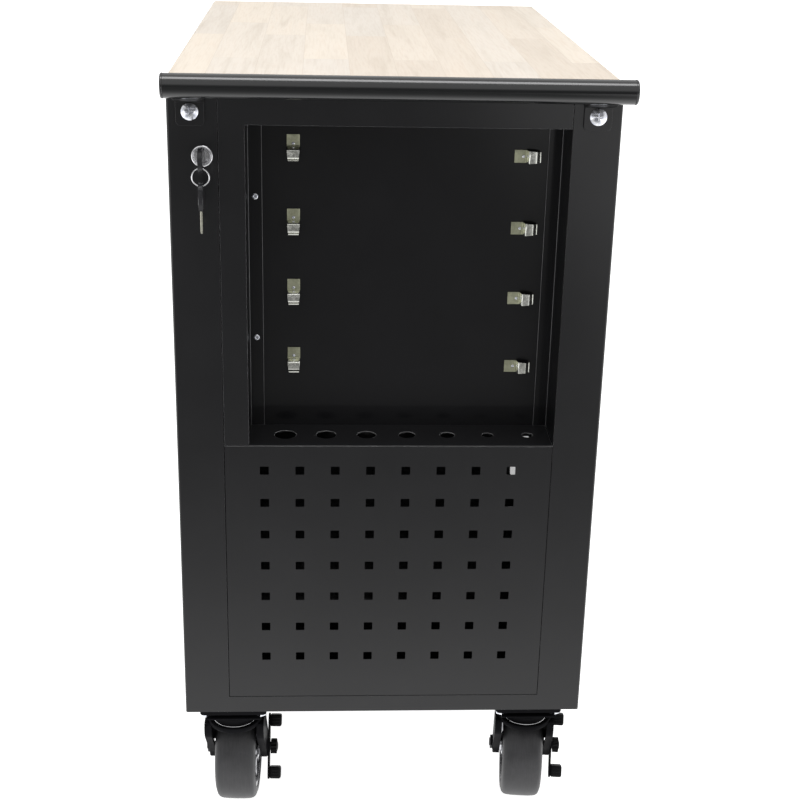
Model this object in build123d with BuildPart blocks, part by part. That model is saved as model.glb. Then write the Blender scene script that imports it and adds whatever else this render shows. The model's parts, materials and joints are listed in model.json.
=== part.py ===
from build123d import *
import math
import os

# Rolling tool chest, in millimetres.
# +Z is up and the origin is on the floor under the middle of the overall box.
# The drawers open towards -Y. The push handle, the lock and the tool niche are on the +X end.

os.makedirs("parts", exist_ok=True)

# ---- cabinet ----
sheet = 1.2                                # folded sheet steel
bend = 2.5                                 # outer radius of a fold
side_x = 318.5                             # outer plane of the +X end
cabinet_length = 684.0
far_x = side_x - cabinet_length            # outer plane of the -X end
front_y = -228.5
rear_y = 224.0
base_z = 158.0                             # underside of the cabinet
top_z = 857.0                              # underside of the worktop
pan_thickness = 2.0
return_depth = 20.0                        # folded edges
inner_side_x = side_x - sheet
inner_far_x = far_x + sheet
pan_top_z = base_z + pan_thickness

# ---- drawer bay ----
bay_x0 = -344.0
bay_x1 = 256.1
liner_front_y = front_y + return_depth
liner_rear_y = rear_y - 2 * sheet
rail_height = 25.0

# ---- worktop ----
worktop_size = (686.0, 450.0, 22.0)
worktop_center = (side_x + 1.0 - worktop_size[0] / 2, front_y + 1.0 + worktop_size[1] / 2)

# ---- tool niche in the +X end ----
post_front_y = front_y + 49.7              # rear edge of the front post
post_rear_y = rear_y - 49.0                # front edge of the rear post
seam = 0.7
niche_y0 = front_y + 76.5
niche_y1 = post_rear_y
niche_z0 = base_z + 331.0
niche_z1 = base_z + 673.0
niche_depth = 60.0
niche_back_x = side_x - niche_depth
window_z0 = base_z + 20.0
cheek_flange = 14.5

# ---- perforated panel and tool shelf ----
pitch = 38.1
square_hole = 9.6
hole_columns = 8
hole_rows = 7
first_hole_y = front_y + 92.5
first_hole_z = base_z + 301.5
shelf_holes = [24.0, 22.0, 20.5, 18.0, 16.5, 12.5, 12.5]
shelf_hole_pitch = 44.1
shelf_hole_first_y = front_y + 114.7
shelf_hole_x = side_x - 30.5

# ---- push handle ----
tube_radius = 12.0
tube_wall = 1.5
tube_x = side_x + 36.0
tube_z = 874.0
handle_length = 461.0
cap_thickness = 4.0
bolt_z = base_z + 686.0
bolt_ys = (front_y + 23.5, rear_y - 25.2)
bolt_shank = 4.0

# ---- lock ----
lock_y = front_y + 34.3
lock_z = base_z + 641.6
plug_radius = 7.1
lock_lift = 12.0                           # travel of the lock bar
bar_y0 = -202.0
bar_y1 = -187.0
tab_y0 = -196.0
tab_y1 = -193.0
key_bow_x = (side_x + 6.0, side_x + 30.0)
key_hole_x = side_x + 24.0
key_hole_z = lock_z - 7.5
key_hole_radius = 2.6
ring_radius = 8.6                          # centre line of the key ring
ring_wire = 0.8

# ---- drawers, from the top one down ----
drawer_heights = (108.0, 140.0, 170.0, 216.0)
drawer_gap = 3.0
front_x0 = bay_x0 + 2.0
front_x1 = bay_x1 - 2.1
front_depth = 17.0
tray_front_y = front_y + front_depth
tray_rear_y = 190.0
pull_height = 24.0

# ---- drawer slides ----
slide_thickness = 12.7
slide_front_y = -206.0
outer_length = 400.0
middle_length = 380.0
inner_length = 390.0
slide_above_drawer = 34.0                  # slide centre above the bottom of the drawer front

# ---- casters ----
caster_inset_x = 32.5
rigid_inset_x = 66.0                       # keeps the rigid wheels under the cabinet
caster_ys = (front_y + 53.7, front_y + 395.3)
caster_turns = (-2.5, -6.0)                # degrees each swivel caster stands round its king pin at rest
swivel_x = side_x - caster_inset_x
rigid_x = far_x + rigid_inset_x
trail = 42.5                               # swivel axis to wheel axis
axle_z = 62.5
wheel_radius = 62.5
wheel_half_width = 24.0
core_radius = 49.0
recess_depth = 5.0                         # dish in each side of a wheel body
axle_radius = 5.0
running_gap = 0.06
plate_size = (64.0, 76.0, 5.0)
plate_hole_dx = 21.0
swivel_hole_dy = 31.0
rigid_hole_dy = 20.0                       # inside the legs of the rigid bracket
plate_bolt_radius = 4.0
leg_inner = 31.5
leg_outer = 34.5
race_plate_z = 147.8                       # top of the square plate over the ball race
neck_radius = 22.0
dish_radius = 31.0                         # round dish of the fork, under the ball race
dish_top_z = 133.0
dish_base_z = 126.6
king_pin_radius = 6.0
rocker_reach = 31.8
rocker_lean = 20.0                         # degrees from upright


def slab(x0, x1, y0, y1, z0, z1, mode=Mode.ADD):
    """A box between two limits on each axis."""
    with Locations(((x0 + x1) / 2, (y0 + y1) / 2, (z0 + z1) / 2)):
        Box(x1 - x0, y1 - y0, z1 - z0, mode=mode)


def bent_sheet(plane, points, length, side=Side.LEFT, thickness=sheet, radius=bend):
    """Sheet folded along a line of points on its outer face, then extruded off the plane."""
    with BuildSketch(plane) as section:
        with BuildLine():
            FilletPolyline(*points, radius=radius)
            offset(amount=thickness, side=side)
        make_face()
    extrude(section.sketch, amount=length)


def rod(center, axis, radius, length, mode=Mode.ADD):
    """A cylinder centred on a point, along "X", "Y" or "Z"."""
    turns = {"X": (0, 90, 0), "Y": (90, 0, 0), "Z": (0, 0, 0)}
    with Locations(Location(center, turns[axis])):
        Cylinder(radius, length, mode=mode)


def dome_height(rim_radius, rise, radius):
    """Height of a spherical dome above its rim, at a distance from its axis."""
    sphere = (rim_radius**2 + rise**2) / (2 * rise)
    return rise - sphere + math.sqrt(sphere**2 - radius**2)


def save(part, name):
    """Names a finished part and writes its STEP file."""
    part.label = name
    export_step(part, f"parts/{name}.step")


def sheet_at(x):
    """Sketch plane facing +X, its first axis along +Y and its second along +Z."""
    return Plane(origin=(x, 0, 0), x_dir=(0, 1, 0), z_dir=(1, 0, 0))


def looking_from_front(y):
    """Sketch plane facing -Y, its first axis along +X and its second along +Z."""
    return Plane(origin=(0, y, 0), x_dir=(1, 0, 0), z_dir=(0, -1, 0))


def corner_bolts(center_x, center_y, half_y):
    """The four bolt places of a caster plate."""
    return [
        (center_x + sx * plate_hole_dx, center_y + sy * half_y)
        for sx in (-1, 1)
        for sy in (-1, 1)
    ]


swivel_bolts = [p for y in caster_ys for p in corner_bolts(swivel_x, y, swivel_hole_dy)]
rigid_bolts = [p for y in caster_ys for p in corner_bolts(rigid_x, y, rigid_hole_dy)]
all_caster_bolts = swivel_bolts + rigid_bolts

# Heights of the drawer fronts, and of the slides beside them.
drawer_bottoms = []
running_z = top_z - rail_height - drawer_gap
for height in drawer_heights:
    running_z -= height
    drawer_bottoms.append(running_z)
    running_z -= drawer_gap
slide_zs = [z + slide_above_drawer for z in drawer_bottoms]

# ---------------------------------------------------------------- worktop
with BuildPart() as worktop:
    with BuildSketch(Plane.XY.offset(top_z)):
        with Locations(worktop_center):
            RectangleRounded(worktop_size[0], worktop_size[1], 4.0)
    extrude(amount=worktop_size[2])
    fillet(worktop.faces().sort_by(Axis.Z)[-1].edges(), 3.0)
save(worktop.part, "worktop")

# ---------------------------------------------------------------- end sheet on the +X side
with BuildPart() as side_frame:
    bent_sheet(
        Plane.XY.offset(base_z),
        [
            (bay_x1, liner_front_y),
            (bay_x1, front_y),
            (side_x, front_y),
            (side_x, rear_y),
            (side_x - return_depth, rear_y),
        ],
        top_z - base_z,
    )
    # window for the niche frame and the perforated panel
    slab(inner_side_x - 5, side_x + 5, post_front_y, post_rear_y, window_z0, top_z + 5, Mode.SUBTRACT)
    # corner relief: the fold beside the drawers stops on the base pan
    slab(bay_x1 - 1, bay_x1 + bend, front_y - 1, liner_front_y + 1, base_z - 1, pan_top_z, Mode.SUBTRACT)
    # folded bottom edge on the base pan, and the stiffening fold of the front post
    slab(inner_side_x - 17, inner_side_x, -200, 218, pan_top_z, pan_top_z + sheet)
    slab(inner_side_x - 12, inner_side_x, post_front_y - sheet, post_front_y, window_z0, top_z)
    # holes for the lock and the handle bolts
    rod((side_x, lock_y, lock_z), "X", 9.6, 10, Mode.SUBTRACT)
    for y in bolt_ys:
        rod((side_x, y, bolt_z), "X", bolt_shank + 0.2, 10, Mode.SUBTRACT)
    for x, y in all_caster_bolts:
        rod((x, y, pan_top_z), "Z", plate_bolt_radius + 0.2, 8, Mode.SUBTRACT)
save(side_frame.part, "side_frame")

# ---------------------------------------------------------------- end sheet on the -X side
with BuildPart() as side_panel:
    bent_sheet(
        Plane.XY.offset(base_z),
        [
            (bay_x0, liner_front_y),
            (bay_x0, front_y),
            (far_x, front_y),
            (far_x, rear_y),
            (far_x + return_depth, rear_y),
        ],
        top_z - base_z,
        side=Side.RIGHT,
    )
    slab(bay_x0 - bend, bay_x0 + 1, front_y - 1, liner_front_y + 1, base_z - 1, pan_top_z, Mode.SUBTRACT)
    slab(inner_far_x, inner_far_x + 14, -200, 218, pan_top_z, pan_top_z + sheet)
    for x, y in all_caster_bolts:
        rod((x, y, pan_top_z), "Z", plate_bolt_radius + 0.2, 8, Mode.SUBTRACT)
save(side_panel.part, "side_panel")

# ---------------------------------------------------------------- niche frame: stile, top rail, ceiling
with BuildPart() as niche_frame:
    with BuildSketch(sheet_at(inner_side_x)):
        with BuildLine():
            Polyline(
                (post_front_y + seam, niche_z0),
                (niche_y0, niche_z0),
                (niche_y0, niche_z1),
                (post_rear_y - seam, niche_z1),
                (post_rear_y - seam, top_z),
                (post_front_y + seam, top_z),
                close=True,
            )
        make_face()
    extrude(amount=sheet)
    # ceiling of the niche, top fold and stile fold
    slab(niche_back_x, inner_side_x, niche_y0, post_rear_y - seam, niche_z1, niche_z1 + sheet)
    slab(side_x - 18, inner_side_x, post_front_y + 2, post_rear_y - seam, top_z - sheet, top_z)
    slab(side_x - 13, inner_side_x, post_front_y + seam, post_front_y + seam + sheet, niche_z0, top_z)
save(niche_frame.part, "niche_frame")

# ---------------------------------------------------------------- back wall of the niche
niche_back_y0 = niche_y0 - 24
niche_back_y1 = niche_y1 + 24
with BuildPart() as niche_back:
    slab(niche_back_x - sheet, niche_back_x, niche_back_y0, niche_back_y1, niche_z0 - 9, top_z - 7)
save(niche_back.part, "niche_back")

# ---------------------------------------------------------------- niche side walls with riveted flanges
cheek_ys = [(niche_y0 - sheet, niche_y0, 1), (niche_y1, niche_y1 + sheet, -1)]
with BuildPart() as niche_cheeks:
    for y0, y1, inward in cheek_ys:
        opening_y = y1 if inward > 0 else y0
        flange_y = sorted((opening_y, opening_y + inward * cheek_flange))
        slab(niche_back_x, inner_side_x, y0, y1, niche_z0, niche_z1)
        slab(niche_back_x, niche_back_x + sheet, flange_y[0], flange_y[1], niche_z0, niche_z1)
save(niche_cheeks.part, "niche_cheeks")

# ---------------------------------------------------------------- tool shelf, the floor of the niche
shelf_y0 = post_front_y + seam
shelf_y1 = post_rear_y - seam
shelf_hole_ys = [shelf_hole_first_y + i * shelf_hole_pitch for i in range(len(shelf_holes))]
with BuildPart() as tool_shelf:
    slab(niche_back_x, side_x, shelf_y0, shelf_y1, niche_z0 - sheet, niche_z0)
    slab(niche_back_x, niche_back_x + sheet, shelf_y0, shelf_y1, niche_z0 - 18, niche_z0 - sheet)
    slab(side_x - 2 * sheet, side_x - sheet, shelf_y0 + 14, shelf_y1 - 14, niche_z0 - 14, niche_z0 - sheet)
    front_edge = tool_shelf.edges().filter_by(Axis.Y).filter_by_position(Axis.X, side_x - 0.1, side_x + 0.1)
    fillet(front_edge.sort_by(Axis.Z)[-1:], 1.0)
    for y, diameter in zip(shelf_hole_ys, shelf_holes):
        rod((shelf_hole_x, y, niche_z0), "Z", diameter / 2, 8, Mode.SUBTRACT)
save(tool_shelf.part, "tool_shelf")

# ---------------------------------------------------------------- perforated panel under the shelf
panel_z1 = niche_z0 - sheet
hole_center_y = first_hole_y + (hole_columns - 1) * pitch / 2
hole_center_z = first_hole_z - (hole_rows - 1) * pitch / 2
with BuildPart() as perforated_panel:
    slab(inner_side_x, side_x, shelf_y0, shelf_y1, window_z0 + seam, panel_z1)
    for y0 in (shelf_y0, shelf_y1 - sheet):
        slab(inner_side_x - 11, inner_side_x, y0, y0 + sheet, window_z0 + seam, panel_z1 - 20)
    with BuildSketch(sheet_at(side_x)):
        with Locations((hole_center_y, hole_center_z)):
            with GridLocations(pitch, pitch, hole_columns, hole_rows):
                RectangleRounded(square_hole, square_hole, 0.8)
    extrude(amount=-2 * sheet, mode=Mode.SUBTRACT)
save(perforated_panel.part, "perforated_panel")

# ---------------------------------------------------------------- drawer bay liners
tab_zs = [z + 58.0 for z in drawer_bottoms]
tab_height = 8.0
with BuildPart() as liner_right:
    slab(bay_x1, bay_x1 + sheet, liner_front_y, liner_rear_y, pan_top_z, top_z)
    for z in tab_zs:
        slot_top = z + tab_height + lock_lift + 1.5
        slab(bay_x1 - 2, bay_x1 + 4, tab_y0 - 1.5, tab_y1 + 1.5, z - 1.5, slot_top, Mode.SUBTRACT)
save(liner_right.part, "liner_right")

with BuildPart() as liner_left:
    slab(bay_x0 - sheet, bay_x0, liner_front_y, liner_rear_y, pan_top_z, top_z)
save(liner_left.part, "liner_left")

# ---------------------------------------------------------------- back panel
with BuildPart() as back_panel:
    slab(inner_far_x + 2, inner_side_x - 2, rear_y - 2 * sheet, rear_y - sheet, pan_top_z, top_z)
save(back_panel.part, "back_panel")

# ---------------------------------------------------------------- base pan
with BuildPart() as base_pan:
    slab(inner_far_x, inner_side_x, front_y + sheet, rear_y - sheet, base_z, pan_top_z)
    chamfer(base_pan.edges().filter_by(Axis.Z), 2.5)
    for x, y in all_caster_bolts:
        rod((x, y, base_z), "Z", plate_bolt_radius + 0.2, 8, Mode.SUBTRACT)
save(base_pan.part, "base_pan")

# ---------------------------------------------------------------- front rails, above and below the drawers
rail_plane = Plane(origin=(bay_x0, 0, 0), x_dir=(0, 1, 0), z_dir=(1, 0, 0))
with BuildPart() as front_rails:
    bent_sheet(
        rail_plane,
        [(-203, top_z), (front_y, top_z), (front_y, top_z - rail_height), (-210, top_z - rail_height)],
        bay_x1 - bay_x0,
    )
    bent_sheet(
        rail_plane,
        [(-210, base_z + rail_height), (front_y, base_z + rail_height), (front_y, base_z)],
        bay_x1 - bay_x0,
    )
save(front_rails.part, "front_rails")

# ---------------------------------------------------------------- push handle
tube_half = handle_length / 2 - cap_thickness
with BuildPart() as handle_tube:
    rod((tube_x, 0, tube_z), "Y", tube_radius, 2 * tube_half)
    rod((tube_x, 0, tube_z), "Y", tube_radius - tube_wall, 2 * tube_half, Mode.SUBTRACT)
save(handle_tube.part, "handle_tube")

plug_inside = tube_radius - tube_wall - 0.05
plug_length = 14.0
collar_radius = tube_radius + 0.2
collar_height = 1.4
halfway = collar_radius / 2
dome_middle = collar_height + dome_height(collar_radius, cap_thickness - collar_height, halfway)
with BuildPart() as handle_caps:
    # one cap turned about the tube axis: plug, collar and shallow dome
    with BuildSketch(Plane(origin=(tube_x, tube_half, tube_z), x_dir=(1, 0, 0), z_dir=(0, 0, 1))):
        with BuildLine():
            Polyline(
                (0, -plug_length),
                (plug_inside, -plug_length),
                (plug_inside, 0),
                (collar_radius, 0),
                (collar_radius, collar_height),
            )
            ThreePointArc((collar_radius, collar_height), (halfway, dome_middle), (0, cap_thickness))
            Line((0, cap_thickness), (0, -plug_length))
        make_face()
    revolve(axis=Axis((tube_x, 0, tube_z), (0, 1, 0)))
    mirror(about=Plane.XZ)
save(handle_caps.part, "handle_caps")

bracket_width = 28.0
with BuildPart() as handle_brackets:
    for y in bolt_ys:
        # strap: flat on the post, then leaning out to the underside of the tube
        with BuildSketch(looking_from_front(y + bracket_width / 2)):
            with BuildLine():
                Polyline(
                    (side_x, bolt_z - 14),
                    (side_x + 3, bolt_z - 14),
                    (side_x + 3, bolt_z + 9),
                    (tube_x - 6, tube_z - 14),
                    (tube_x - 2, tube_z),
                    (tube_x - 8, tube_z),
                    (side_x + 3.4, bolt_z + 14.5),
                    (side_x, bolt_z + 11),
                    close=True,
                )
            make_face()
        extrude(amount=bracket_width)
        rod((tube_x, y, tube_z), "Y", tube_radius + 0.02, bracket_width + 10, Mode.SUBTRACT)
        rod((side_x, y, bolt_z), "X", bolt_shank + 0.2, 20, Mode.SUBTRACT)
    fillet(handle_brackets.edges().filter_by(Axis.X).group_by(Axis.Z)[0], 5.0)
save(handle_brackets.part, "handle_brackets")

head_radius = 8.5
head_x = side_x + 3.0
rim_x = head_x + 1.0
head_rise = 2.8
head_middle = rim_x + dome_height(head_radius, head_rise, head_radius / 2)
with BuildPart() as handle_bolts:
    for y in bolt_ys:
        # truss head with a cross recess, shank and inner nut
        with BuildSketch(looking_from_front(y)):
            with BuildLine():
                Polyline(
                    (rim_x + head_rise, bolt_z),
                    (head_x, bolt_z),
                    (head_x, bolt_z + head_radius),
                    (rim_x, bolt_z + head_radius),
                )
                ThreePointArc(
                    (rim_x, bolt_z + head_radius),
                    (head_middle, bolt_z + head_radius / 2),
                    (rim_x + head_rise, bolt_z),
                )
            make_face()
        revolve(axis=Axis((side_x, y, bolt_z), (1, 0, 0)))
        slab(side_x + 4.6, side_x + 8, y - 4.2, y + 4.2, bolt_z - 0.8, bolt_z + 0.8, Mode.SUBTRACT)
        slab(side_x + 4.6, side_x + 8, y - 0.8, y + 0.8, bolt_z - 4.2, bolt_z + 4.2, Mode.SUBTRACT)
        rod((side_x - 5, y, bolt_z), "X", bolt_shank, 16)
        with BuildSketch(sheet_at(inner_side_x - 6.5)):
            with Locations((y, bolt_z)):
                RegularPolygon(7.5, 6)
        extrude(amount=6.5)
save(handle_bolts.part, "handle_bolts")

# ---------------------------------------------------------------- lock
with BuildPart() as lock_housing:
    rod((side_x + 1.0, lock_y, lock_z), "X", 10.8, 2.0)
    fillet(lock_housing.faces().sort_by(Axis.X)[-1].edges(), 0.8)
    rod((side_x - 9, lock_y, lock_z), "X", 9.5, 18)
    rod((side_x, lock_y, lock_z), "X", plug_radius + running_gap, 60, Mode.SUBTRACT)
save(lock_housing.part, "lock_housing")

pin_radius = 2.5
with BuildPart() as lock_plug:
    rod((side_x - 9, lock_y, lock_z), "X", plug_radius, 23)
    # cam behind the housing, with the pin that lifts the lock bar
    rod((side_x - 22, lock_y, lock_z), "X", 8.5, 4)
    slab(side_x - 24, side_x - 20, lock_y, lock_y + lock_lift, lock_z - 5, lock_z + 5)
    rod((side_x - 22, lock_y + lock_lift, lock_z), "X", 5, 4)
    rod((side_x - 28, lock_y + lock_lift, lock_z), "X", pin_radius, 8)
    # keyway
    slab(side_x - 14, side_x + 5, lock_y - 1.1, lock_y + 1.1, lock_z - 4.2, lock_z + 4.2, Mode.SUBTRACT)
save(lock_plug.part, "lock_plug")

with BuildPart() as lock_key:
    slab(side_x - 13, key_bow_x[0] + 6, lock_y - 1.0, lock_y + 1.0, lock_z - 4, lock_z + 4)
    with BuildSketch(looking_from_front(lock_y + 2.5)):
        with Locations(((key_bow_x[0] + key_bow_x[1]) / 2, lock_z)):
            RectangleRounded(key_bow_x[1] - key_bow_x[0], 24, 6)
    extrude(amount=5)
    rod((key_hole_x, lock_y, key_hole_z), "Y", key_hole_radius, 12, Mode.SUBTRACT)
save(lock_key.part, "lock_key")

# ring through the hole of the inserted key, hanging across the end sheet
ring_z = key_hole_z - ring_radius
with BuildPart() as key_ring:
    with Locations(Location((key_hole_x, lock_y, ring_z), (0, 90, 0))):
        Torus(ring_radius, ring_wire)
save(key_ring.part, "key_ring")

spare_hole_z = ring_z - ring_radius
with BuildPart() as spare_key:
    with BuildSketch(looking_from_front(lock_y + 2.5)):
        with Locations((key_hole_x, spare_hole_z - 10.5)):
            RectangleRounded(19, 29, 6)
    extrude(amount=5)
    rod((key_hole_x, lock_y, spare_hole_z), "Y", key_hole_radius, 12, Mode.SUBTRACT)
    # blade with three bitting cuts
    blade_top = spare_hole_z - 25
    slab(key_hole_x - 4, key_hole_x + 4, lock_y - 1, lock_y + 1, blade_top - 23, blade_top + 4)
    with BuildSketch(looking_from_front(lock_y + 2)):
        with Locations(*[(key_hole_x + 4.4, blade_top - 6 - 5 * i) for i in range(3)]):
            RegularPolygon(2.4, 3)
    extrude(amount=4, mode=Mode.SUBTRACT)
save(spare_key.part, "spare_key")

bar_x0 = bay_x1 + sheet + 0.7
bar_x1 = bar_x0 + 2.0
link_x0 = side_x - 31.5
link_x1 = link_x0 + 2.5
with BuildPart() as lock_bar:
    slab(bar_x0, bar_x1, bar_y0, bar_y1, drawer_bottoms[-1] + 30, lock_z + 14)
    for z in tab_zs:
        slab(bar_x0 - 11, bar_x0, tab_y0, tab_y1, z, z + tab_height)
    # arm out to the cam, and the slotted link that its pin lifts
    slab(bar_x1, link_x1, -208, -205, lock_z - 10, lock_z + 14)
    slab(bar_x0, bar_x1, -208, bar_y0, lock_z - 10, lock_z + 14)
    slab(link_x0, link_x1, -205, -175.5, lock_z - 10, lock_z + 14)
    slab(
        link_x0 - 1, link_x1 + 1,
        lock_y - pin_radius - 1, lock_y + lock_lift + pin_radius + 1,
        lock_z - pin_radius - 0.8, lock_z + pin_radius + 3.2,
        Mode.SUBTRACT,
    )
save(lock_bar.part, "lock_bar")

# ---------------------------------------------------------------- spring clips on the niche back wall
clip_width = 13.4
upright_clips = [(front_y + 123.5, base_z + z) for z in (639.6, 561.5, 485.0, 408.1)]
sideways_clips = [(front_y + 367.3, base_z + z) for z in (633.3, 556.4, 479.1, 401.3)]
# across the clip: out of the wall, along the clip from its hook end to its tab end
clip_path = [(1.0, 14.0), (1.0, 1.5), (8.5, -2.0), (8.5, -10.0), (4.5, -13.0)]
with BuildPart() as tool_clips:
    for y, z in upright_clips:
        plane = Plane(
            origin=(niche_back_x, y + clip_width / 2, z), x_dir=(1, 0, 0), z_dir=(0, -1, 0)
        )
        bent_sheet(plane, clip_path, clip_width, Side.LEFT, 0.9, 1.2)
    for y, z in sideways_clips:
        plane = Plane(
            origin=(niche_back_x, y, z - clip_width / 2), x_dir=(1, 0, 0), z_dir=(0, 0, 1)
        )
        sideways_path = [(x, -along) for x, along in clip_path]
        bent_sheet(plane, sideways_path, clip_width, Side.RIGHT, 0.9, 1.2)
save(tool_clips.part, "tool_clips")

# ---------------------------------------------------------------- pop rivets of the niche
rivet_places = [(front_y + 83.5, base_z + z) for z in (588.0, 433.0)]
with BuildPart() as rivets:
    for y, z in rivet_places:
        rod((niche_back_x + sheet + 0.5, y, z), "X", 3.2, 1.0)
    fillet(rivets.faces().filter_by(Axis.X).group_by(Axis.X)[-1].edges(), 0.6)
save(rivets.part, "rivets")

# ---------------------------------------------------------------- drawers
for number, (z0, height) in enumerate(zip(drawer_bottoms, drawer_heights), start=1):
    z1 = z0 + height
    shell_top = z1 - pull_height
    tray_x0 = bay_x0 + slide_thickness
    tray_x1 = bay_x1 - slide_thickness
    tray_z0 = z0 + 6
    with BuildPart() as drawer:
        # front: folded shell, open at the back, with the tray standing against it
        slab(front_x0, front_x1, front_y, tray_front_y, z0, shell_top)
        slab(
            front_x0 + sheet, front_x1 - sheet, front_y + sheet, tray_front_y,
            z0 + sheet, shell_top - sheet, Mode.SUBTRACT,
        )
        slab(tray_x0, tray_x1, tray_front_y, tray_rear_y, tray_z0, shell_top - 4)
        slab(tray_x0, tray_x1, tray_front_y, tray_front_y + sheet, tray_z0, z1 - 1)
        slab(
            tray_x0 + sheet, tray_x1 - sheet, tray_front_y + sheet, tray_rear_y - sheet,
            tray_z0 + sheet, z1, Mode.SUBTRACT,
        )
        # catch that the lock tab stands in front of
        slab(tray_x1, tray_x1 + 7.5, tab_y1 + 1, tab_y1 + 4, z0 + 68, z0 + 75)
    save(drawer.part, f"drawer_{number}")

    # full-width pull: foot, back and curled lip, with finger room behind the lip
    with BuildPart() as pull:
        with BuildSketch(rail_plane.offset(front_x0 - bay_x0)):
            with BuildLine():
                Polyline(
                    (front_y + 3, shell_top),
                    (tray_front_y, shell_top),
                    (tray_front_y, z1),
                    (front_y, z1),
                    (front_y, z1 - 9),
                    (front_y + 2, z1 - 9),
                    (front_y + 2, z1 - 2),
                    (tray_front_y - 2, z1 - 2),
                    (tray_front_y - 2, shell_top + 2),
                    (front_y + 3, shell_top + 2),
                    close=True,
                )
            make_face()
        extrude(amount=front_x1 - front_x0)
        fillet(pull.edges().filter_by(Axis.X).sort_by(Axis.Y)[0:2], 0.8)
    save(pull.part, f"pull_{number}")

# ---------------------------------------------------------------- ball-bearing slides
# Each member is a channel. Distances are from the liner face towards the drawer.
slide_wall = 1.2
outer_half = 22.5
middle_half = 19.5
inner_half = 16.0
slide_sides = [(bay_x0, 1), (bay_x1, -1)]


def channel(wall_x, toward, web_at, lip_at, half_height, y0, y1, zc):
    """A channel section along Y: its web at one depth, its lips reaching to another."""
    into = math.copysign(slide_wall, lip_at - web_at)
    web = sorted((wall_x + toward * web_at, wall_x + toward * (web_at + into)))
    lip = sorted((wall_x + toward * web_at, wall_x + toward * lip_at))
    slab(web[0], web[1], y0, y1, zc - half_height, zc + half_height)
    slab(lip[0], lip[1], y0, y1, zc + half_height - slide_wall, zc + half_height)
    slab(lip[0], lip[1], y0, y1, zc - half_height, zc - half_height + slide_wall)


with BuildPart() as slide_rails:
    for zc in slide_zs:
        for wall_x, toward in slide_sides:
            channel(wall_x, toward, 0, 10, outer_half, slide_front_y, slide_front_y + outer_length, zc)
save(slide_rails.part, "slide_rails")

for number, zc in enumerate(slide_zs, start=1):
    with BuildPart() as slide_middle:
        for wall_x, toward in slide_sides:
            y1 = slide_front_y + middle_length
            channel(wall_x, toward, 2.7, 10.6, middle_half, slide_front_y, y1, zc)
            # ball retainers above and below, outside and inside the channel
            cage = sorted((wall_x + toward * 5, wall_x + toward * 9))
            for up in (-1, 1):
                outside = sorted((zc + up * middle_half, zc + up * (outer_half - slide_wall - 0.1)))
                inside = sorted((zc + up * (middle_half - slide_wall), zc + up * (inner_half + 0.1)))
                slab(cage[0], cage[1], y1 - 200, y1, *outside)
                slab(cage[0], cage[1], slide_front_y, slide_front_y + 180, *inside)
    save(slide_middle.part, f"slide_middle_{number}")

    with BuildPart() as slide_inner:
        for wall_x, toward in slide_sides:
            y1 = slide_front_y + inner_length
            channel(wall_x, toward, slide_thickness, 5.0, inner_half, slide_front_y, y1, zc)
    save(slide_inner.part, f"slide_inner_{number}")

# ---------------------------------------------------------------- swivel caster plates
plate_z0 = base_z - plate_size[2]
with BuildPart() as caster_plates:
    for yc in caster_ys:
        with BuildSketch(Plane.XY.offset(plate_z0)):
            with Locations((swivel_x, yc)):
                RectangleRounded(plate_size[0], plate_size[1], 5)
        extrude(amount=plate_size[2])
        slab(
            swivel_x - 31.5, swivel_x + 31.5, yc - 31.5, yc + 31.5,
            race_plate_z - 1.6, race_plate_z,
        )
        # neck down into the dish, king pin and its head under the dish
        neck_z0 = dish_base_z + 3.6
        rod((swivel_x, yc, (neck_z0 + plate_z0) / 2), "Z", neck_radius, plate_z0 - neck_z0)
        rod((swivel_x, yc, dish_base_z + 1), "Z", king_pin_radius, 8)
        rod((swivel_x, yc, dish_base_z - 3.4), "Z", 10, 6)
        for x, y in corner_bolts(swivel_x, yc, swivel_hole_dy):
            rod((x, y, base_z), "Z", plate_bolt_radius + 0.2, 14, Mode.SUBTRACT)
save(caster_plates.part, "caster_plates")

# ---------------------------------------------------------------- forks, wheels and brakes
axle_x = swivel_x - trail


def turned_wheel_core(x, y, half_width):
    """Wheel body turned about Y: rim, web and hub, with the axle bore."""
    rod((x, y, axle_z), "Y", core_radius, 2 * half_width - 4)
    for s in (-1, 1):
        face_y = y + s * (half_width - 2)
        with BuildSketch(Plane(origin=(x, face_y, axle_z), x_dir=(1, 0, 0), z_dir=(0, s, 0))) as recess:
            Circle(core_radius - 5)
            Circle(17, mode=Mode.SUBTRACT)
        extrude(recess.sketch, amount=-recess_depth, mode=Mode.SUBTRACT)
    for s in (-1, 1):
        rod((x, y + s * (half_width + 1), axle_z), "Y", 11, 6)
    rod((x, y, axle_z), "Y", axle_radius + running_gap, 4 * half_width, Mode.SUBTRACT)


def turned_tyre(x, y, half_width):
    """Solid rubber tyre turned about Y, crowned, with round shoulders."""
    with BuildSketch(Plane(origin=(x, y, axle_z), x_dir=(0, 1, 0), z_dir=(1, 0, 0))) as profile:
        with BuildLine():
            Line((-half_width + 1.5, core_radius), (half_width - 1.5, core_radius))
            Line((half_width - 1.5, core_radius), (half_width, core_radius + 4))
            ThreePointArc(
                (half_width, core_radius + 4),
                (half_width - 2.2, wheel_radius - 4.2),
                (half_width - 7, wheel_radius - 1.2),
            )
            ThreePointArc(
                (half_width - 7, wheel_radius - 1.2),
                (0, wheel_radius),
                (-half_width + 7, wheel_radius - 1.2),
            )
            ThreePointArc(
                (-half_width + 7, wheel_radius - 1.2),
                (-half_width + 2.2, wheel_radius - 4.2),
                (-half_width, core_radius + 4),
            )
            Line((-half_width, core_radius + 4), (-half_width + 1.5, core_radius))
        make_face()
    revolve(profile.sketch, axis=Axis((x, y, axle_z), (0, 1, 0)))


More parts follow.
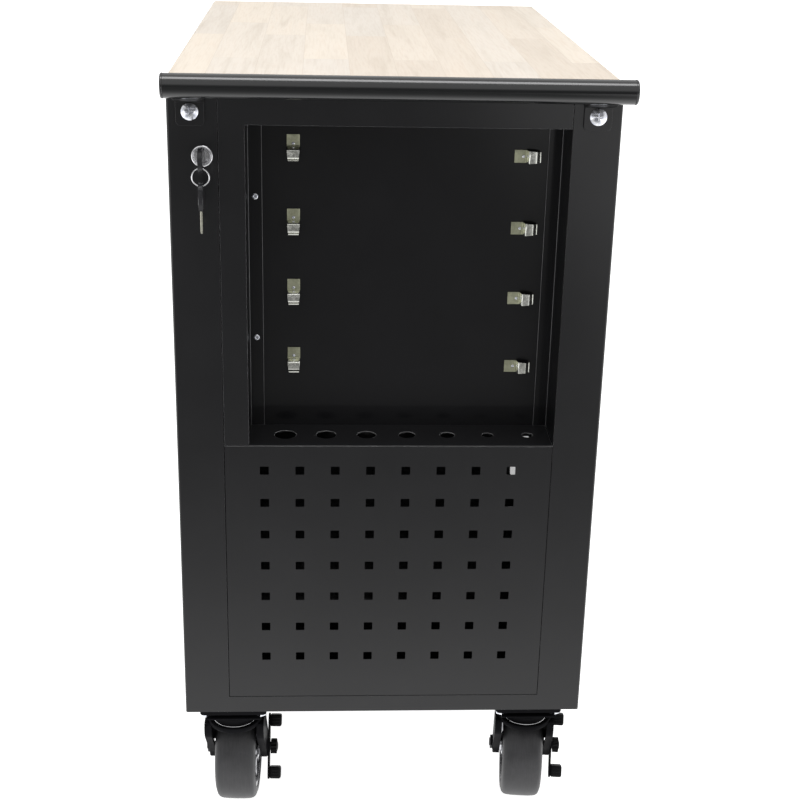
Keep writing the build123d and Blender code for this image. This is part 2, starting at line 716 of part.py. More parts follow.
for place, yc, stand in zip(("front", "rear"), caster_ys, caster_turns):
    king_pin = Axis((swivel_x, yc, 0), (0, 0, 1))
    with BuildPart() as fork:
        # crown plate between the legs, and the round dish of the ball race on it
        crown_z1 = dish_base_z + 3.9
        slab(swivel_x - 24, swivel_x + 14, yc - leg_outer, yc + leg_outer, dish_base_z + 0.4, crown_z1)
        rod((swivel_x, yc, (dish_base_z + dish_top_z) / 2), "Z", dish_radius, dish_top_z - dish_base_z)
        fillet(fork.edges().filter_by(GeomType.CIRCLE).group_by(Axis.Z)[-1], 1.6)
        dish_depth = dish_top_z - dish_base_z - 3.0
        rod(
            (swivel_x, yc, dish_top_z - dish_depth / 2), "Z", dish_radius - 3.5, dish_depth,
            Mode.SUBTRACT,
        )
        # legs leaning back to the axle
        for y0 in (yc - leg_outer, yc + leg_inner):
            with BuildSketch(Plane(origin=(0, y0, 0), x_dir=(1, 0, 0), z_dir=(0, -1, 0))):
                with BuildLine():
                    Polyline(
                        (swivel_x - 24, crown_z1),
                        (axle_x - 12, axle_z + 6),
                        (axle_x - 12, axle_z - 4),
                        (axle_x - 6, axle_z - 11),
                        (axle_x + 6, axle_z - 11),
                        (axle_x + 13, axle_z - 2),
                        (swivel_x + 14, 112),
                        (swivel_x + 14, crown_z1),
                        close=True,
                    )
                make_face()
            extrude(amount=-(leg_outer - leg_inner))
        # bore for the king pin, wheel clearance and axle holes
        rod((swivel_x, yc, dish_base_z), "Z", king_pin_radius + running_gap, 30, Mode.SUBTRACT)
        rod((axle_x, yc, axle_z), "Y", wheel_radius + 3, 2 * leg_inner, Mode.SUBTRACT)
        rod((axle_x, yc, axle_z), "Y", axle_radius + running_gap, 90, Mode.SUBTRACT)
    save(fork.part.rotate(king_pin, stand), f"fork_{place}")

    with BuildPart() as axle:
        rod((axle_x, yc, axle_z), "Y", axle_radius, 2 * leg_outer + 14)
        rod((axle_x, yc - leg_outer - 3, axle_z), "Y", 8, 6)
        # toothed knob that holds the brake rocker on
        rod((axle_x, yc + leg_outer + 8.5, axle_z), "Y", 8, 8)
        with BuildSketch(Plane(origin=(axle_x, yc + leg_outer + 4.5, axle_z), x_dir=(1, 0, 0), z_dir=(0, 1, 0))):
            with PolarLocations(8.0, 12):
                Circle(1.3)
        extrude(amount=8)
    save(axle.part.rotate(king_pin, stand), f"axle_{place}")

    with BuildPart() as wheel_core:
        turned_wheel_core(axle_x, yc, wheel_half_width)
    save(wheel_core.part.rotate(king_pin, stand), f"wheel_core_{place}")

    with BuildPart() as tyre:
        turned_tyre(axle_x, yc, wheel_half_width)
    save(tyre.part.rotate(king_pin, stand), f"tyre_{place}")

    with BuildPart() as brake:
        # flat arm on the axle, with a pedal pad at each end
        arm_y0 = yc + leg_outer + 0.6
        lean = math.radians(rocker_lean)
        with BuildSketch(Plane(origin=(axle_x, arm_y0, axle_z), x_dir=(1, 0, 0), z_dir=(0, 1, 0))):
            with Locations(Location((0, 0, 0), (0, 0, -rocker_lean))):
                SlotOverall(2 * rocker_reach + 18, 16, rotation=90)
                Circle(axle_radius + running_gap, mode=Mode.SUBTRACT)
        extrude(amount=2.8)
        for s in (-1, 1):
            pad_x = axle_x - s * rocker_reach * math.sin(lean)
            pad_z = axle_z + s * rocker_reach * math.cos(lean)
            with Locations(Location((pad_x, arm_y0 + 9, pad_z), (0, -rocker_lean, 0))):
                Box(12, 14, 15)
        pad_edges = brake.edges().filter_by(GeomType.LINE).filter_by_position(
            Axis.Y, arm_y0 + 15.9, arm_y0 + 16.1
        )
        fillet(pad_edges, 2.5)
    save(brake.part.rotate(king_pin, stand), f"brake_rocker_{place}")

# ---------------------------------------------------------------- rigid casters at the -X end
with BuildPart() as rigid_brackets:
    for yc in caster_ys:
        with BuildSketch(Plane.XY.offset(plate_z0)):
            with Locations((rigid_x, yc)):
                RectangleRounded(plate_size[0], plate_size[1], 5)
        extrude(amount=plate_size[2])
        for y0 in (yc - leg_outer, yc + leg_inner):
            with BuildSketch(Plane(origin=(0, y0, 0), x_dir=(1, 0, 0), z_dir=(0, -1, 0))):
                with BuildLine():
                    Polyline(
                        (rigid_x - 30, plate_z0),
                        (rigid_x - 12, axle_z - 6),
                        (rigid_x - 7, axle_z - 11),
                        (rigid_x + 7, axle_z - 11),
                        (rigid_x + 12, axle_z - 6),
                        (rigid_x + 30, plate_z0),
                        close=True,
                    )
                make_face()
            extrude(amount=-(leg_outer - leg_inner))
        rod((rigid_x, yc, axle_z), "Y", axle_radius + running_gap, 90, Mode.SUBTRACT)
        for x, y in corner_bolts(rigid_x, yc, rigid_hole_dy):
            rod((x, y, base_z), "Z", plate_bolt_radius + 0.2, 12, Mode.SUBTRACT)
save(rigid_brackets.part, "rigid_brackets")

with BuildPart() as rigid_axles:
    for yc in caster_ys:
        rod((rigid_x, yc, axle_z), "Y", axle_radius, 2 * leg_outer + 12)
        for s in (-1, 1):
            with BuildSketch(
                Plane(origin=(rigid_x, yc + s * leg_outer, axle_z), x_dir=(1, 0, 0), z_dir=(0, s, 0))
            ):
                RegularPolygon(8.5, 6)
            extrude(amount=6)
save(rigid_axles.part, "rigid_axles")

for place, yc in zip(("front", "rear"), caster_ys):
    with BuildPart() as rigid_core:
        turned_wheel_core(rigid_x, yc, wheel_half_width)
    save(rigid_core.part, f"rigid_core_{place}")

    with BuildPart() as rigid_tyre:
        turned_tyre(rigid_x, yc, wheel_half_width)
    save(rigid_tyre.part, f"rigid_tyre_{place}")

# ---------------------------------------------------------------- caster bolts with their nuts
with BuildPart() as caster_bolts:
    for x, y in all_caster_bolts:
        with BuildSketch(Plane.XY.offset(plate_z0 - 5)):
            with Locations((x, y)):
                RegularPolygon(7, 6)
        extrude(amount=5)
        rod((x, y, plate_z0 + 6), "Z", plate_bolt_radius, 12)
        with BuildSketch(Plane.XY.offset(pan_top_z + sheet)):
            with Locations((x, y)):
                RegularPolygon(7, 6)
        extrude(amount=6)
save(caster_bolts.part, "caster_bolts")
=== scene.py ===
import json
import math

import bmesh
import bpy
from mathutils import Matrix, Vector


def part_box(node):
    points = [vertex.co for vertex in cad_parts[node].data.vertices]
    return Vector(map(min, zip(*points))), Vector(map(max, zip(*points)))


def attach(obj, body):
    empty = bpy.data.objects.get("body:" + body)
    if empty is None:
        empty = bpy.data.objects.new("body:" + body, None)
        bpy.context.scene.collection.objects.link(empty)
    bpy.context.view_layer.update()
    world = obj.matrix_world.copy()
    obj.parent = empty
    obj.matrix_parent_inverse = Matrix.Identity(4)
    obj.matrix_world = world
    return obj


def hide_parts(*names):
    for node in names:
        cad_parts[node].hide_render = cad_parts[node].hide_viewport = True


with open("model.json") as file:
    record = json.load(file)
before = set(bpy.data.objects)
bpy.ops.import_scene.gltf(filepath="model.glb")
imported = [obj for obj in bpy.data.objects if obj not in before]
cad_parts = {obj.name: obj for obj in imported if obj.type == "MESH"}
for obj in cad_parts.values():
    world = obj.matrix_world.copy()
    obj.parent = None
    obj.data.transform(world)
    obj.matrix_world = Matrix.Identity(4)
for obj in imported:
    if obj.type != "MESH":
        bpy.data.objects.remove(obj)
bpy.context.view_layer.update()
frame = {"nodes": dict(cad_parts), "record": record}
MM = 0.001
scene = bpy.context.scene


# ---------------- shader helpers
class Finish:
    """One procedural material: a Principled shader with short calls for the nodes that drive it."""

    def __init__(self, name, metallic=0.0, **sockets):
        self.material = bpy.data.materials.new(name)
        self.material.use_nodes = True
        self.tree = self.material.node_tree
        self.shader = self.tree.nodes["Principled BSDF"]
        self.shader.inputs["Metallic"].default_value = metallic
        for socket, value in sockets.items():
            self.shader.inputs[socket.replace("_", " ")].default_value = value
        self.normal = None

    def add(self, kind, **settings):
        node = self.tree.nodes.new(kind)
        for key, value in settings.items():
            setattr(node, key, value)
        return node

    def link(self, source, target):
        self.tree.links.new(source, target)

    def where(self, stretch=(1, 1, 1)):
        """Place on the object in metres, stretched along each axis."""
        place = self.add("ShaderNodeTexCoord")
        mapping = self.add("ShaderNodeMapping")
        mapping.inputs["Scale"].default_value = stretch
        self.link(place.outputs["Object"], mapping.inputs["Vector"])
        return mapping.outputs["Vector"]

    def noise(self, scale, detail=3.0, rough=0.5, vector=None, distortion=0.0):
        node = self.add("ShaderNodeTexNoise")
        node.inputs["Scale"].default_value = scale
        node.inputs["Detail"].default_value = detail
        node.inputs["Roughness"].default_value = rough
        node.inputs["Distortion"].default_value = distortion
        self.link(vector or self.where(), node.inputs["Vector"])
        return node.outputs["Fac"]

    def cells(self, scale):
        node = self.add("ShaderNodeTexVoronoi")
        node.inputs["Scale"].default_value = scale
        self.link(self.where(), node.inputs["Vector"])
        return node.outputs["Color"]

    def ramp(self, value, stops):
        """Colours along a value: stops are (position, colour)."""
        node = self.add("ShaderNodeValToRGB")
        elements = node.color_ramp.elements
        while len(elements) < len(stops):
            elements.new(0.5)
        for element, (position, colour) in zip(elements, stops):
            element.position = position
            element.color = (*colour, 1.0)
        self.link(value, node.inputs["Fac"])
        return node.outputs["Color"]

    def spread(self, value, low, high, start=0.3, end=0.7):
        """A 0..1 value spread between two numbers."""
        node = self.add("ShaderNodeMapRange")
        node.inputs["From Min"].default_value = start
        node.inputs["From Max"].default_value = end
        node.inputs["To Min"].default_value = low
        node.inputs["To Max"].default_value = high
        self.link(value, node.inputs["Value"])
        return node.outputs["Result"]

    def mixed(self, factor, first, second, blend="MIX"):
        node = self.add("ShaderNodeMix", data_type="RGBA", blend_type=blend)
        for socket, value in ((0, factor), (6, first), (7, second)):
            if hasattr(value, "links"):
                self.link(value, node.inputs[socket])
            else:
                node.inputs[socket].default_value = value if socket == 0 else (*value, 1.0)
        return node.outputs[2]

    def colour(self, output):
        self.link(output, self.shader.inputs["Base Color"])

    def roughness(self, output):
        self.link(output, self.shader.inputs["Roughness"])

    def bump(self, height, distance, strength=1.0):
        node = self.add("ShaderNodeBump")
        node.inputs["Distance"].default_value = distance
        node.inputs["Strength"].default_value = strength
        self.link(height, node.inputs["Height"])
        if self.normal is not None:
            self.link(self.normal, node.inputs["Normal"])
        self.normal = node.outputs["Normal"]
        self.link(self.normal, self.shader.inputs["Normal"])


def powder_coat(name, dark, light, rough, gloss=0.5, shine=0.25):
    """Black powder coat: faint colour drift, orange peel, handling haze and a glossy top skin."""
    coat = Finish(name, Specular_IOR_Level=shine, Coat_Weight=gloss, Coat_Roughness=0.10)
    drift = coat.noise(5.0, detail=4.0, rough=0.6)
    coat.colour(coat.ramp(drift, [(0.35, dark), (0.65, light)]))
    haze = coat.noise(14.0, detail=5.0, rough=0.65, distortion=0.6)
    coat.roughness(coat.spread(haze, rough - 0.035, rough + 0.05))
    coat.bump(coat.noise(620.0, detail=2.0), 0.00004, 0.35)
    return coat.material


def butcher_block(name):
    """Edge-glued hardwood staves along X, with grain, glue lines and tint from board to board."""
    wood = Finish(name, Specular_IOR_Level=0.45, Coat_Weight=0.15, Coat_Roughness=0.25)
    stave_width = 47.5 * MM
    stave_length = 310 * MM
    glue_line = 0.22 * MM
    boards = wood.add("ShaderNodeTexBrick", offset=0.37, offset_frequency=2, squash=1.0)
    boards.inputs["Scale"].default_value = 1.0
    boards.inputs["Brick Width"].default_value = stave_length
    boards.inputs["Row Height"].default_value = stave_width
    boards.inputs["Mortar Size"].default_value = glue_line
    boards.inputs["Mortar Smooth"].default_value = 0.3
    boards.inputs["Bias"].default_value = 0.0
    boards.inputs["Color1"].default_value = (0.0, 0.0, 0.0, 1.0)
    boards.inputs["Color2"].default_value = (1.0, 1.0, 1.0, 1.0)
    boards.inputs["Mortar"].default_value = (0.5, 0.5, 0.5, 1.0)
    wood.link(wood.where(), boards.inputs["Vector"])
    # each stave reads the grain from its own place
    shift = wood.add("ShaderNodeVectorMath", operation="MULTIPLY_ADD")
    shift.inputs[1].default_value = (3.0, 2.0, 5.0)
    wood.link(boards.outputs["Color"], shift.inputs[0])
    wood.link(wood.where(), shift.inputs[2])
    stretch = wood.add("ShaderNodeMapping")
    stretch.inputs["Scale"].default_value = (1.6, 26.0, 26.0)
    wood.link(shift.outputs["Vector"], stretch.inputs["Vector"])
    grain = wood.noise(2.6, detail=6.0, rough=0.62, vector=stretch.outputs["Vector"], distortion=1.1)
    pores = wood.noise(16.0, detail=3.0, rough=0.5, vector=stretch.outputs["Vector"])
    tint = wood.ramp(boards.outputs["Color"], [
        (0.0, (0.80, 0.705, 0.600)), (0.30, (0.88, 0.790, 0.680)),
        (0.62, (0.85, 0.780, 0.695)), (1.0, (0.91, 0.815, 0.695)),
    ])
    streaks = wood.ramp(grain, [
        (0.30, (0.90, 0.88, 0.85)), (0.52, (1.0, 1.0, 1.0)), (0.72, (0.97, 0.95, 0.93)),
    ])
    fine = wood.ramp(pores, [(0.33, (0.90, 0.87, 0.84)), (0.55, (1.0, 1.0, 1.0))])
    toned = wood.mixed(0.75, tint, streaks, "MULTIPLY")
    toned = wood.mixed(0.55, toned, fine, "MULTIPLY")
    glue = wood.spread(boards.outputs["Fac"], 0.0, 0.35, 0.0, 1.0)
    wood.colour(wood.mixed(glue, toned, (0.46, 0.33, 0.21)))
    wood.roughness(wood.spread(grain, 0.36, 0.48))
    wood.bump(pores, 0.00006, 0.30)
    wood.bump(boards.outputs["Fac"], 0.00010, -0.35)
    return wood.material


def plated(name, dark, light, rough, cell=900.0, crystal=0.5, haze=26.0):
    """Zinc or nickel plate: crystal spangle, soft clouding and fine pitting."""
    metal = Finish(name, metallic=1.0)
    cloud = metal.noise(haze, detail=5.0, rough=0.6, distortion=0.8)
    base = metal.ramp(cloud, [(0.32, dark), (0.68, light)])
    spangle = metal.ramp(metal.cells(cell), [(0.2, dark), (0.8, light)])
    metal.colour(metal.mixed(crystal, base, spangle))
    metal.roughness(metal.spread(metal.noise(cell * 0.8, detail=3.0), rough - 0.07, rough + 0.10))
    metal.bump(metal.noise(cell * 1.6, detail=2.0), 0.00005, 0.4)
    return metal.material


def drawn_metal(name, dark, light, rough, along, metallic=1.0):
    """Rolled or extruded metal with fine lines along one axis."""
    metal = Finish(name, metallic=metallic)
    stretch = tuple(14.0 if i == along else 1500.0 for i in range(3))
    lines = metal.noise(1.0, detail=4.0, rough=0.6, vector=metal.where(stretch))
    cloud = metal.noise(18.0, detail=4.0, rough=0.6)
    metal.colour(metal.mixed(0.5, metal.ramp(lines, [(0.3, dark), (0.7, light)]),
                             metal.ramp(cloud, [(0.3, dark), (0.7, light)])))
    metal.roughness(metal.spread(lines, rough - 0.06, rough + 0.08))
    metal.bump(lines, 0.00002, 0.3)
    return metal.material


def moulded(name, dark, light, rough, grain_scale=1500.0, grain_depth=0.00004, shine=0.5):
    """Moulded plastic with a fine spark-eroded grain."""
    plastic = Finish(name, Specular_IOR_Level=shine)
    cloud = plastic.noise(22.0, detail=4.0, rough=0.6)
    plastic.colour(plastic.ramp(cloud, [(0.3, dark), (0.7, light)]))
    plastic.roughness(plastic.spread(plastic.noise(60.0, detail=4.0), rough - 0.05, rough + 0.07))
    plastic.bump(plastic.noise(grain_scale, detail=2.0), grain_depth, 0.4)
    return plastic.material


def rubber(name):
    """Dark grey tyre rubber: dusty patches, fine scuffs round the tread."""
    tyre = Finish(name, Specular_IOR_Level=0.5)
    dust = tyre.noise(34.0, detail=6.0, rough=0.65, distortion=0.5)
    scuffs = tyre.noise(1.0, detail=5.0, rough=0.7, vector=tyre.where((60.0, 900.0, 60.0)))
    base = tyre.ramp(dust, [(0.30, (0.018, 0.018, 0.020)), (0.70, (0.050, 0.050, 0.053))])
    tyre.colour(tyre.mixed(0.35, base, tyre.ramp(scuffs, [
        (0.35, (0.022, 0.022, 0.024)), (0.75, (0.068, 0.068, 0.071))])))
    tyre.roughness(tyre.spread(dust, 0.42, 0.58))
    tyre.bump(tyre.noise(700.0, detail=3.0), 0.00008, 0.4)
    return tyre.material


BLACK_COAT = powder_coat("black_powder_coat", (0.0080, 0.0080, 0.0090), (0.0115, 0.0115, 0.0128), 0.34)
# The niche coat is the body's black powder coat at about half the brightness: painted shade in the recess.
NICHE_SHADED_COAT = powder_coat("niche_powder_coat", (0.0040, 0.0040, 0.0048), (0.0065, 0.0065, 0.0077), 0.36,
                         gloss=0.4, shine=0.20)
TUBE_COAT = powder_coat("tube_powder_coat", (0.0070, 0.0075, 0.0080), (0.0100, 0.0105, 0.0110), 0.18,
                        gloss=0.8, shine=0.4)
WOOD = butcher_block("wood_top")
ZINC = plated("zinc_bright", (0.60, 0.62, 0.72), (0.98, 0.99, 1.0), 0.20, cell=520.0, crystal=0.6)
CLIP_ZINC = plated("zinc_yellow", (0.35, 0.355, 0.25), (0.58, 0.59, 0.43), 0.36, cell=420.0, crystal=0.3)
# The hooks take a brighter copy of the clip zinc than the tabs: a painted highlight on their curved faces.
HOOK_ZINC_HIGHLIGHT = plated("zinc_hook_highlight", (0.72, 0.73, 0.66), (0.98, 0.98, 0.93), 0.20, cell=420.0, crystal=0.3)
SLIDE_STEEL = drawn_metal("slide_steel", (0.46, 0.47, 0.49), (0.66, 0.67, 0.69), 0.30, along=1)
CHROME = plated("lock_chrome", (0.78, 0.78, 0.80), (0.96, 0.96, 0.98), 0.11, cell=700.0, crystal=0.2)
KEY_STEEL = drawn_metal("key_steel", (0.52, 0.51, 0.42), (0.80, 0.79, 0.68), 0.26, along=2)
BLACK_PLASTIC = moulded("black_plastic", (0.0050, 0.0050, 0.0056), (0.0085, 0.0085, 0.0095), 0.42, shine=0.12)
CAP_PLASTIC = moulded("cap_plastic", (0.0090, 0.0090, 0.0100), (0.0140, 0.0140, 0.0150), 0.14,
                      grain_scale=900.0, grain_depth=0.00002, shine=0.8)
KEY_PLASTIC = moulded("key_plastic", (0.012, 0.012, 0.014), (0.026, 0.026, 0.029), 0.24)
PULL_BLACK = drawn_metal("pull_black", (0.030, 0.030, 0.033), (0.060, 0.060, 0.064), 0.34,
                         along=0, metallic=0.6)
TYRE = rubber("tyre_rubber")
# The wheel-core mottle from near black to bright is painted glints as well as alloy tone.
WHEEL_ALLOY_GLINTS = plated("wheel_core_alloy", (0.050, 0.050, 0.055), (0.72, 0.72, 0.75), 0.22,
                     cell=130.0, crystal=0.45, haze=60.0)
CASTER_BLACK = powder_coat("caster_black", (0.0060, 0.0060, 0.0068), (0.0110, 0.0110, 0.0125), 0.44,
                           gloss=0.01, shine=0.012)
BLACKED_STEEL = plated("blacked_steel", (0.020, 0.020, 0.022), (0.050, 0.050, 0.054), 0.34,
                       cell=600.0, crystal=0.3)
# The pale edge coats below are painted highlights along the rounded folds and sheet edges.
EDGE_HIGHLIGHT_COAT = drawn_metal("painted_edge_highlight", (0.40, 0.40, 0.42), (0.75, 0.75, 0.77), 0.28, along=2, metallic=0.3)
DIM_EDGE_HIGHLIGHT = drawn_metal("dim_painted_edge_highlight", (0.10, 0.10, 0.105), (0.22, 0.22, 0.225), 0.30, along=2, metallic=0.3)
SHELF_EDGE_HIGHLIGHT = drawn_metal("shelf_painted_edge_highlight", (0.60, 0.60, 0.62), (0.85, 0.85, 0.86), 0.28,
                         along=1, metallic=0.2)
GLOWING_FOAM = moulded("packing_foam", (0.80, 0.80, 0.80), (0.92, 0.92, 0.91), 0.8,
               grain_scale=500.0, grain_depth=0.0002)
# painted light: the white foam glows a little of its own so it stays pale in the dark bay
GLOWING_FOAM.node_tree.nodes["Principled BSDF"].inputs["Emission Strength"].default_value = 0.45
AXLE_STEEL = plated("axle_steel", (0.50, 0.51, 0.53), (0.74, 0.75, 0.78), 0.26, cell=600.0, crystal=0.4)

SLOT_FINISH = {
    "black_powder_coat": BLACK_COAT, "niche_powder_coat": NICHE_SHADED_COAT, "wood_top": WOOD,
    "zinc_bright": ZINC, "zinc_yellow": CLIP_ZINC, "slide_steel": SLIDE_STEEL,
    "lock_chrome": CHROME, "key_steel": KEY_STEEL, "black_plastic": BLACK_PLASTIC,
    "pull_black": PULL_BLACK, "tyre_rubber": TYRE, "wheel_plastic": WHEEL_ALLOY_GLINTS,
    "caster_black": CASTER_BLACK, "axle_steel": AXLE_STEEL,
}

# ---------------- carried-over CAD nodes
# How far each node's hard edges are rounded, in millimetres.
EDGE_ROUND = {
    "side_frame": 0.6, "side_panel": 0.45, "niche_frame": 0.9, "niche_back": 0.3, "niche_cheeks": 0.4,
    "tool_shelf": 0.8, "perforated_panel": 0.3, "front_rails": 0.3, "back_panel": 0.3, "base_pan": 0.3,
    "handle_brackets": 0.6, "caster_plates": 0.6, "rigid_brackets": 0.5, "lock_bar": 0.3,
    "worktop": 0.3,
}
for number in range(1, 5):
    EDGE_ROUND["drawer_%d" % number] = 0.45
    EDGE_ROUND["pull_%d" % number] = 0.4
# Nodes whose rounded edges take a paler coat, a painted highlight along folds and sheet edges.
EDGE_HIGHLIGHTS = {
    "side_frame": EDGE_HIGHLIGHT_COAT, "niche_frame": EDGE_HIGHLIGHT_COAT, "tool_shelf": SHELF_EDGE_HIGHLIGHT, "niche_cheeks": DIM_EDGE_HIGHLIGHT,
}


def round_edges(node, width):
    """Joins the split vertices of a CAD mesh and rounds its hard edges, all in modifiers."""
    weld = node.modifiers.new("weld", "WELD")
    weld.merge_threshold = 0.00001
    flat = node.modifiers.new("flat", "DECIMATE")
    flat.decimate_type = "DISSOLVE"
    flat.angle_limit = math.radians(0.5)
    bevel = node.modifiers.new("edges", "BEVEL")
    bevel.width = width * MM
    bevel.segments = 2
    bevel.limit_method = "ANGLE"
    bevel.angle_limit = math.radians(40)
    bevel.use_clamp_overlap = True
    # the bevel faces take the pale coat, a painted highlight along the edge
    if node.name in EDGE_HIGHLIGHTS:
        node.data.materials.append(EDGE_HIGHLIGHTS[node.name])
        bevel.material = 1
    bevel.face_strength_mode = "FSTR_ALL"
    normals = node.modifiers.new("normals", "WEIGHTED_NORMAL")
    normals.keep_sharp = False
    normals.use_face_influence = True


slot_of = {part["node"]: part["material_slot"] for part in frame["record"]["subparts"]}
for name, node in frame["nodes"].items():
    finish = TUBE_COAT if name == "handle_tube" else SLOT_FINISH[slot_of[name]]
    node.data.materials.clear()
    node.data.materials.append(finish)
    if name in EDGE_ROUND:
        round_edges(node, EDGE_ROUND[name])


# ---------------- mesh helpers
def place(bm, name, body, material, slot, smooth=35, replaces=(), turn=None):
    """Turns a bmesh into a piece that rides a body and takes the given material; the slot argument is not
    used.
    """
    bmesh.ops.recalc_face_normals(bm, faces=bm.faces)
    if turn is not None:
        bmesh.ops.transform(bm, matrix=turn, verts=bm.verts)
    mesh = bpy.data.meshes.new(name)
    bm.to_mesh(mesh)
    bm.free()
    mesh.materials.append(material)
    for polygon in mesh.polygons:
        polygon.use_smooth = True
    piece = bpy.data.objects.new(name, mesh)
    scene.collection.objects.link(piece)
    mesh.set_sharp_from_angle(angle=math.radians(smooth))
    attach(piece, body)
    if replaces:
        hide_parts(*replaces)


def axes_for(direction):
    """A matrix whose third column points along a direction."""
    return Vector(direction).to_track_quat("Z", "Y").to_matrix()


def lathe(bm, center, direction, profile, segments=64):
    """Turns a profile of (radius, along) points about an axis, closed where the radius is 0, and
    returns its rings of vertices."""
    turn = axes_for(direction)
    rings = []
    for radius, along in profile:
        if radius <= 0:
            rings.append([bm.verts.new(Vector(center) + turn @ Vector((0, 0, along)))])
            continue
        ring = []
        for i in range(segments):
            angle = 2 * math.pi * i / segments
            offset = Vector((radius * math.cos(angle), radius * math.sin(angle), along))
            ring.append(bm.verts.new(Vector(center) + turn @ offset))
        rings.append(ring)
    for a, b in zip(rings, rings[1:]):
        for i in range(segments):
            j = (i + 1) % segments
            corners = [a[i % len(a)], a[j % len(a)], b[j % len(b)], b[i % len(b)]]
            unique = list(dict.fromkeys(corners))
            if len(unique) > 2:
                bm.faces.new(unique)
    return rings


def closed_lathe(bm, center, direction, profile, segments=64):
    """A ring-shaped solid: the profile is a closed loop away from the axis."""
    rings = lathe(bm, center, direction, profile, segments)
    first, last = rings[0], rings[-1]
    for i in range(segments):
        j = (i + 1) % segments
        bm.faces.new([last[i], last[j], first[j], first[i]])


def rounded_path(points, radius, steps=5):
    """A line of 2-D points with its corners rounded by arcs of curve."""
    path = [Vector(points[0])]
    for before, corner, after in zip(points, points[1:], points[2:]):
        before, corner, after = Vector(before), Vector(corner), Vector(after)
        cut = min(radius, (corner - before).length * 0.45, (after - corner).length * 0.45)
        start = corner + (before - corner).normalized() * cut
        end = corner + (after - corner).normalized() * cut
        for i in range(steps + 1):
            t = i / steps
            path.append(start.lerp(corner, t).lerp(corner.lerp(end, t), t))
    path.append(Vector(points[-1]))
    return path


def thick_line(path, thickness):
    """The closed outline of a strip of even thickness that follows a path."""
    left, right = [], []
    for i, point in enumerate(path):
        ahead = path[min(i + 1, len(path) - 1)] - path[max(i - 1, 0)]
        side = Vector((-ahead.y, ahead.x)).normalized() * thickness / 2
        left.append(point + side)
        right.append(point - side)
    return left + right[::-1]


def prism(bm, outline, to_space, depth0, depth1, bevel=0.0, segments=2):
    """Extrudes a 2-D outline between two depths; to_space(u, v, w) gives the place in the frame."""
    low = [bm.verts.new(to_space(p[0], p[1], depth0)) for p in outline]
    high = [bm.verts.new(to_space(p[0], p[1], depth1)) for p in outline]
    ends = [bm.faces.new(low), bm.faces.new(high[::-1])]
    for i in range(len(outline)):
        j = (i + 1) % len(outline)
        bm.faces.new([low[i], high[i], high[j], low[j]])
    if bevel:
        rim = [e for end in ends for e in end.edges]
        bmesh.ops.bevel(bm, geom=rim, offset=bevel, segments=segments, profile=0.5, affect="EDGES")


def rounded_box(bm, center, size, radius, turn=Matrix.Identity(3), segments=4):
    """A box with all its edges rounded."""
    made = bmesh.ops.create_cube(bm, size=1.0)
    for v in made["verts"]:
        v.co = Vector(center) + turn @ Vector(c * s for c, s in zip(v.co, size))
    edges = list({e for v in made["verts"] for e in v.link_edges})
    bmesh.ops.bevel(bm, geom=edges, offset=radius, segments=segments, profile=0.5, affect="EDGES")


def wire(bm, points, radius, sides=12):
    """A round wire that follows points, with flat ends."""
    rings = []
    side = None
    for i, point in enumerate(points):
        ahead = (points[min(i + 1, len(points) - 1)] - points[max(i - 1, 0)]).normalized()
        if side is None:
            side = ahead.orthogonal().normalized()
        side = (side - ahead * side.dot(ahead)).normalized()
        other = ahead.cross(side)
        ring = []
        for k in range(sides):
            angle = 2 * math.pi * k / sides
            ring.append(bm.verts.new(point + (side * math.cos(angle) + other * math.sin(angle)) * radius))
        rings.append(ring)
    for a, b in zip(rings, rings[1:]):
        for k in range(sides):
            j = (k + 1) % sides
            bm.faces.new([a[k], a[j], b[j], b[k]])
    bm.faces.new(rings[0][::-1])
    bm.faces.new(rings[-1])


joint_of = {joint["name"]: joint for joint in frame["record"]["behaviour"]["joints"]}


def standing(place_name):
    """How a swivel caster stands round its king pin at rest, as a matrix."""
    pin = Vector(joint_of["caster_swivel_" + place_name]["pos_m"])
    axle = Vector(joint_of["wheel_spin_" + place_name]["axis"])
    turn = Matrix.Rotation(math.atan2(-axle.x, axle.y), 4, "Z")
    return Matrix.Translation(pin) @ turn @ Matrix.Translation(-pin)


def straight_box(node, turn):
    """The box of a CAD node once its caster is turned back to straight ahead."""
    back = turn.inverted()
    places = [back @ v.co for v in frame["nodes"][node].data.vertices]
    low = Vector(min(p[i] for p in places) for i in range(3))
    high = Vector(max(p[i] for p in places) for i in range(3))
    return low, high


def middle(box):
    return (box[0] + box[1]) / 2


def mirrored(profile):
    """A lathe profile followed by its mirror image on the other side of the wheel."""
    return profile + [(radius, -along) for radius, along in reversed(profile)]


# ---------------- handle end caps
def handle_caps():
    """Pressed-in plugs: a rounded collar, a groove and a shallow dome on each end of the tube."""
    low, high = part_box("handle_caps")
    tube_low, tube_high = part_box("handle_tube")
    x, z = (low.x + high.x) / 2, (low.z + high.z) / 2
    collar = (high.x - low.x) / 2
    bm = bmesh.new()
    for end, reach, sign in ((tube_high.y, high.y - tube_high.y, 1), (tube_low.y, tube_low.y - low.y, -1)):
        profile = [
            (0, -13 * MM), (collar * 0.80, -13 * MM), (collar * 0.85, -12 * MM), (collar * 0.85, -0.2 * MM),
            (collar * 0.97, 0.05 * MM), (collar, 0.5 * MM), (collar, 1.4 * MM), (collar * 0.985, 2.1 * MM),
            (collar * 0.93, 2.7 * MM), (collar * 0.84, 2.9 * MM), (collar * 0.80, 2.5 * MM),
            (collar * 0.76, 2.5 * MM), (collar * 0.72, 2.95 * MM), (collar * 0.5, 3.5 * MM),
            (collar * 0.25, reach - 0.1 * MM), (0, reach),
        ]
        lathe(bm, (x, end, z), (0, sign, 0), profile)
    place(bm, "handle_end_caps", "chest", CAP_PLASTIC, "black_plastic", replaces=("handle_caps",))


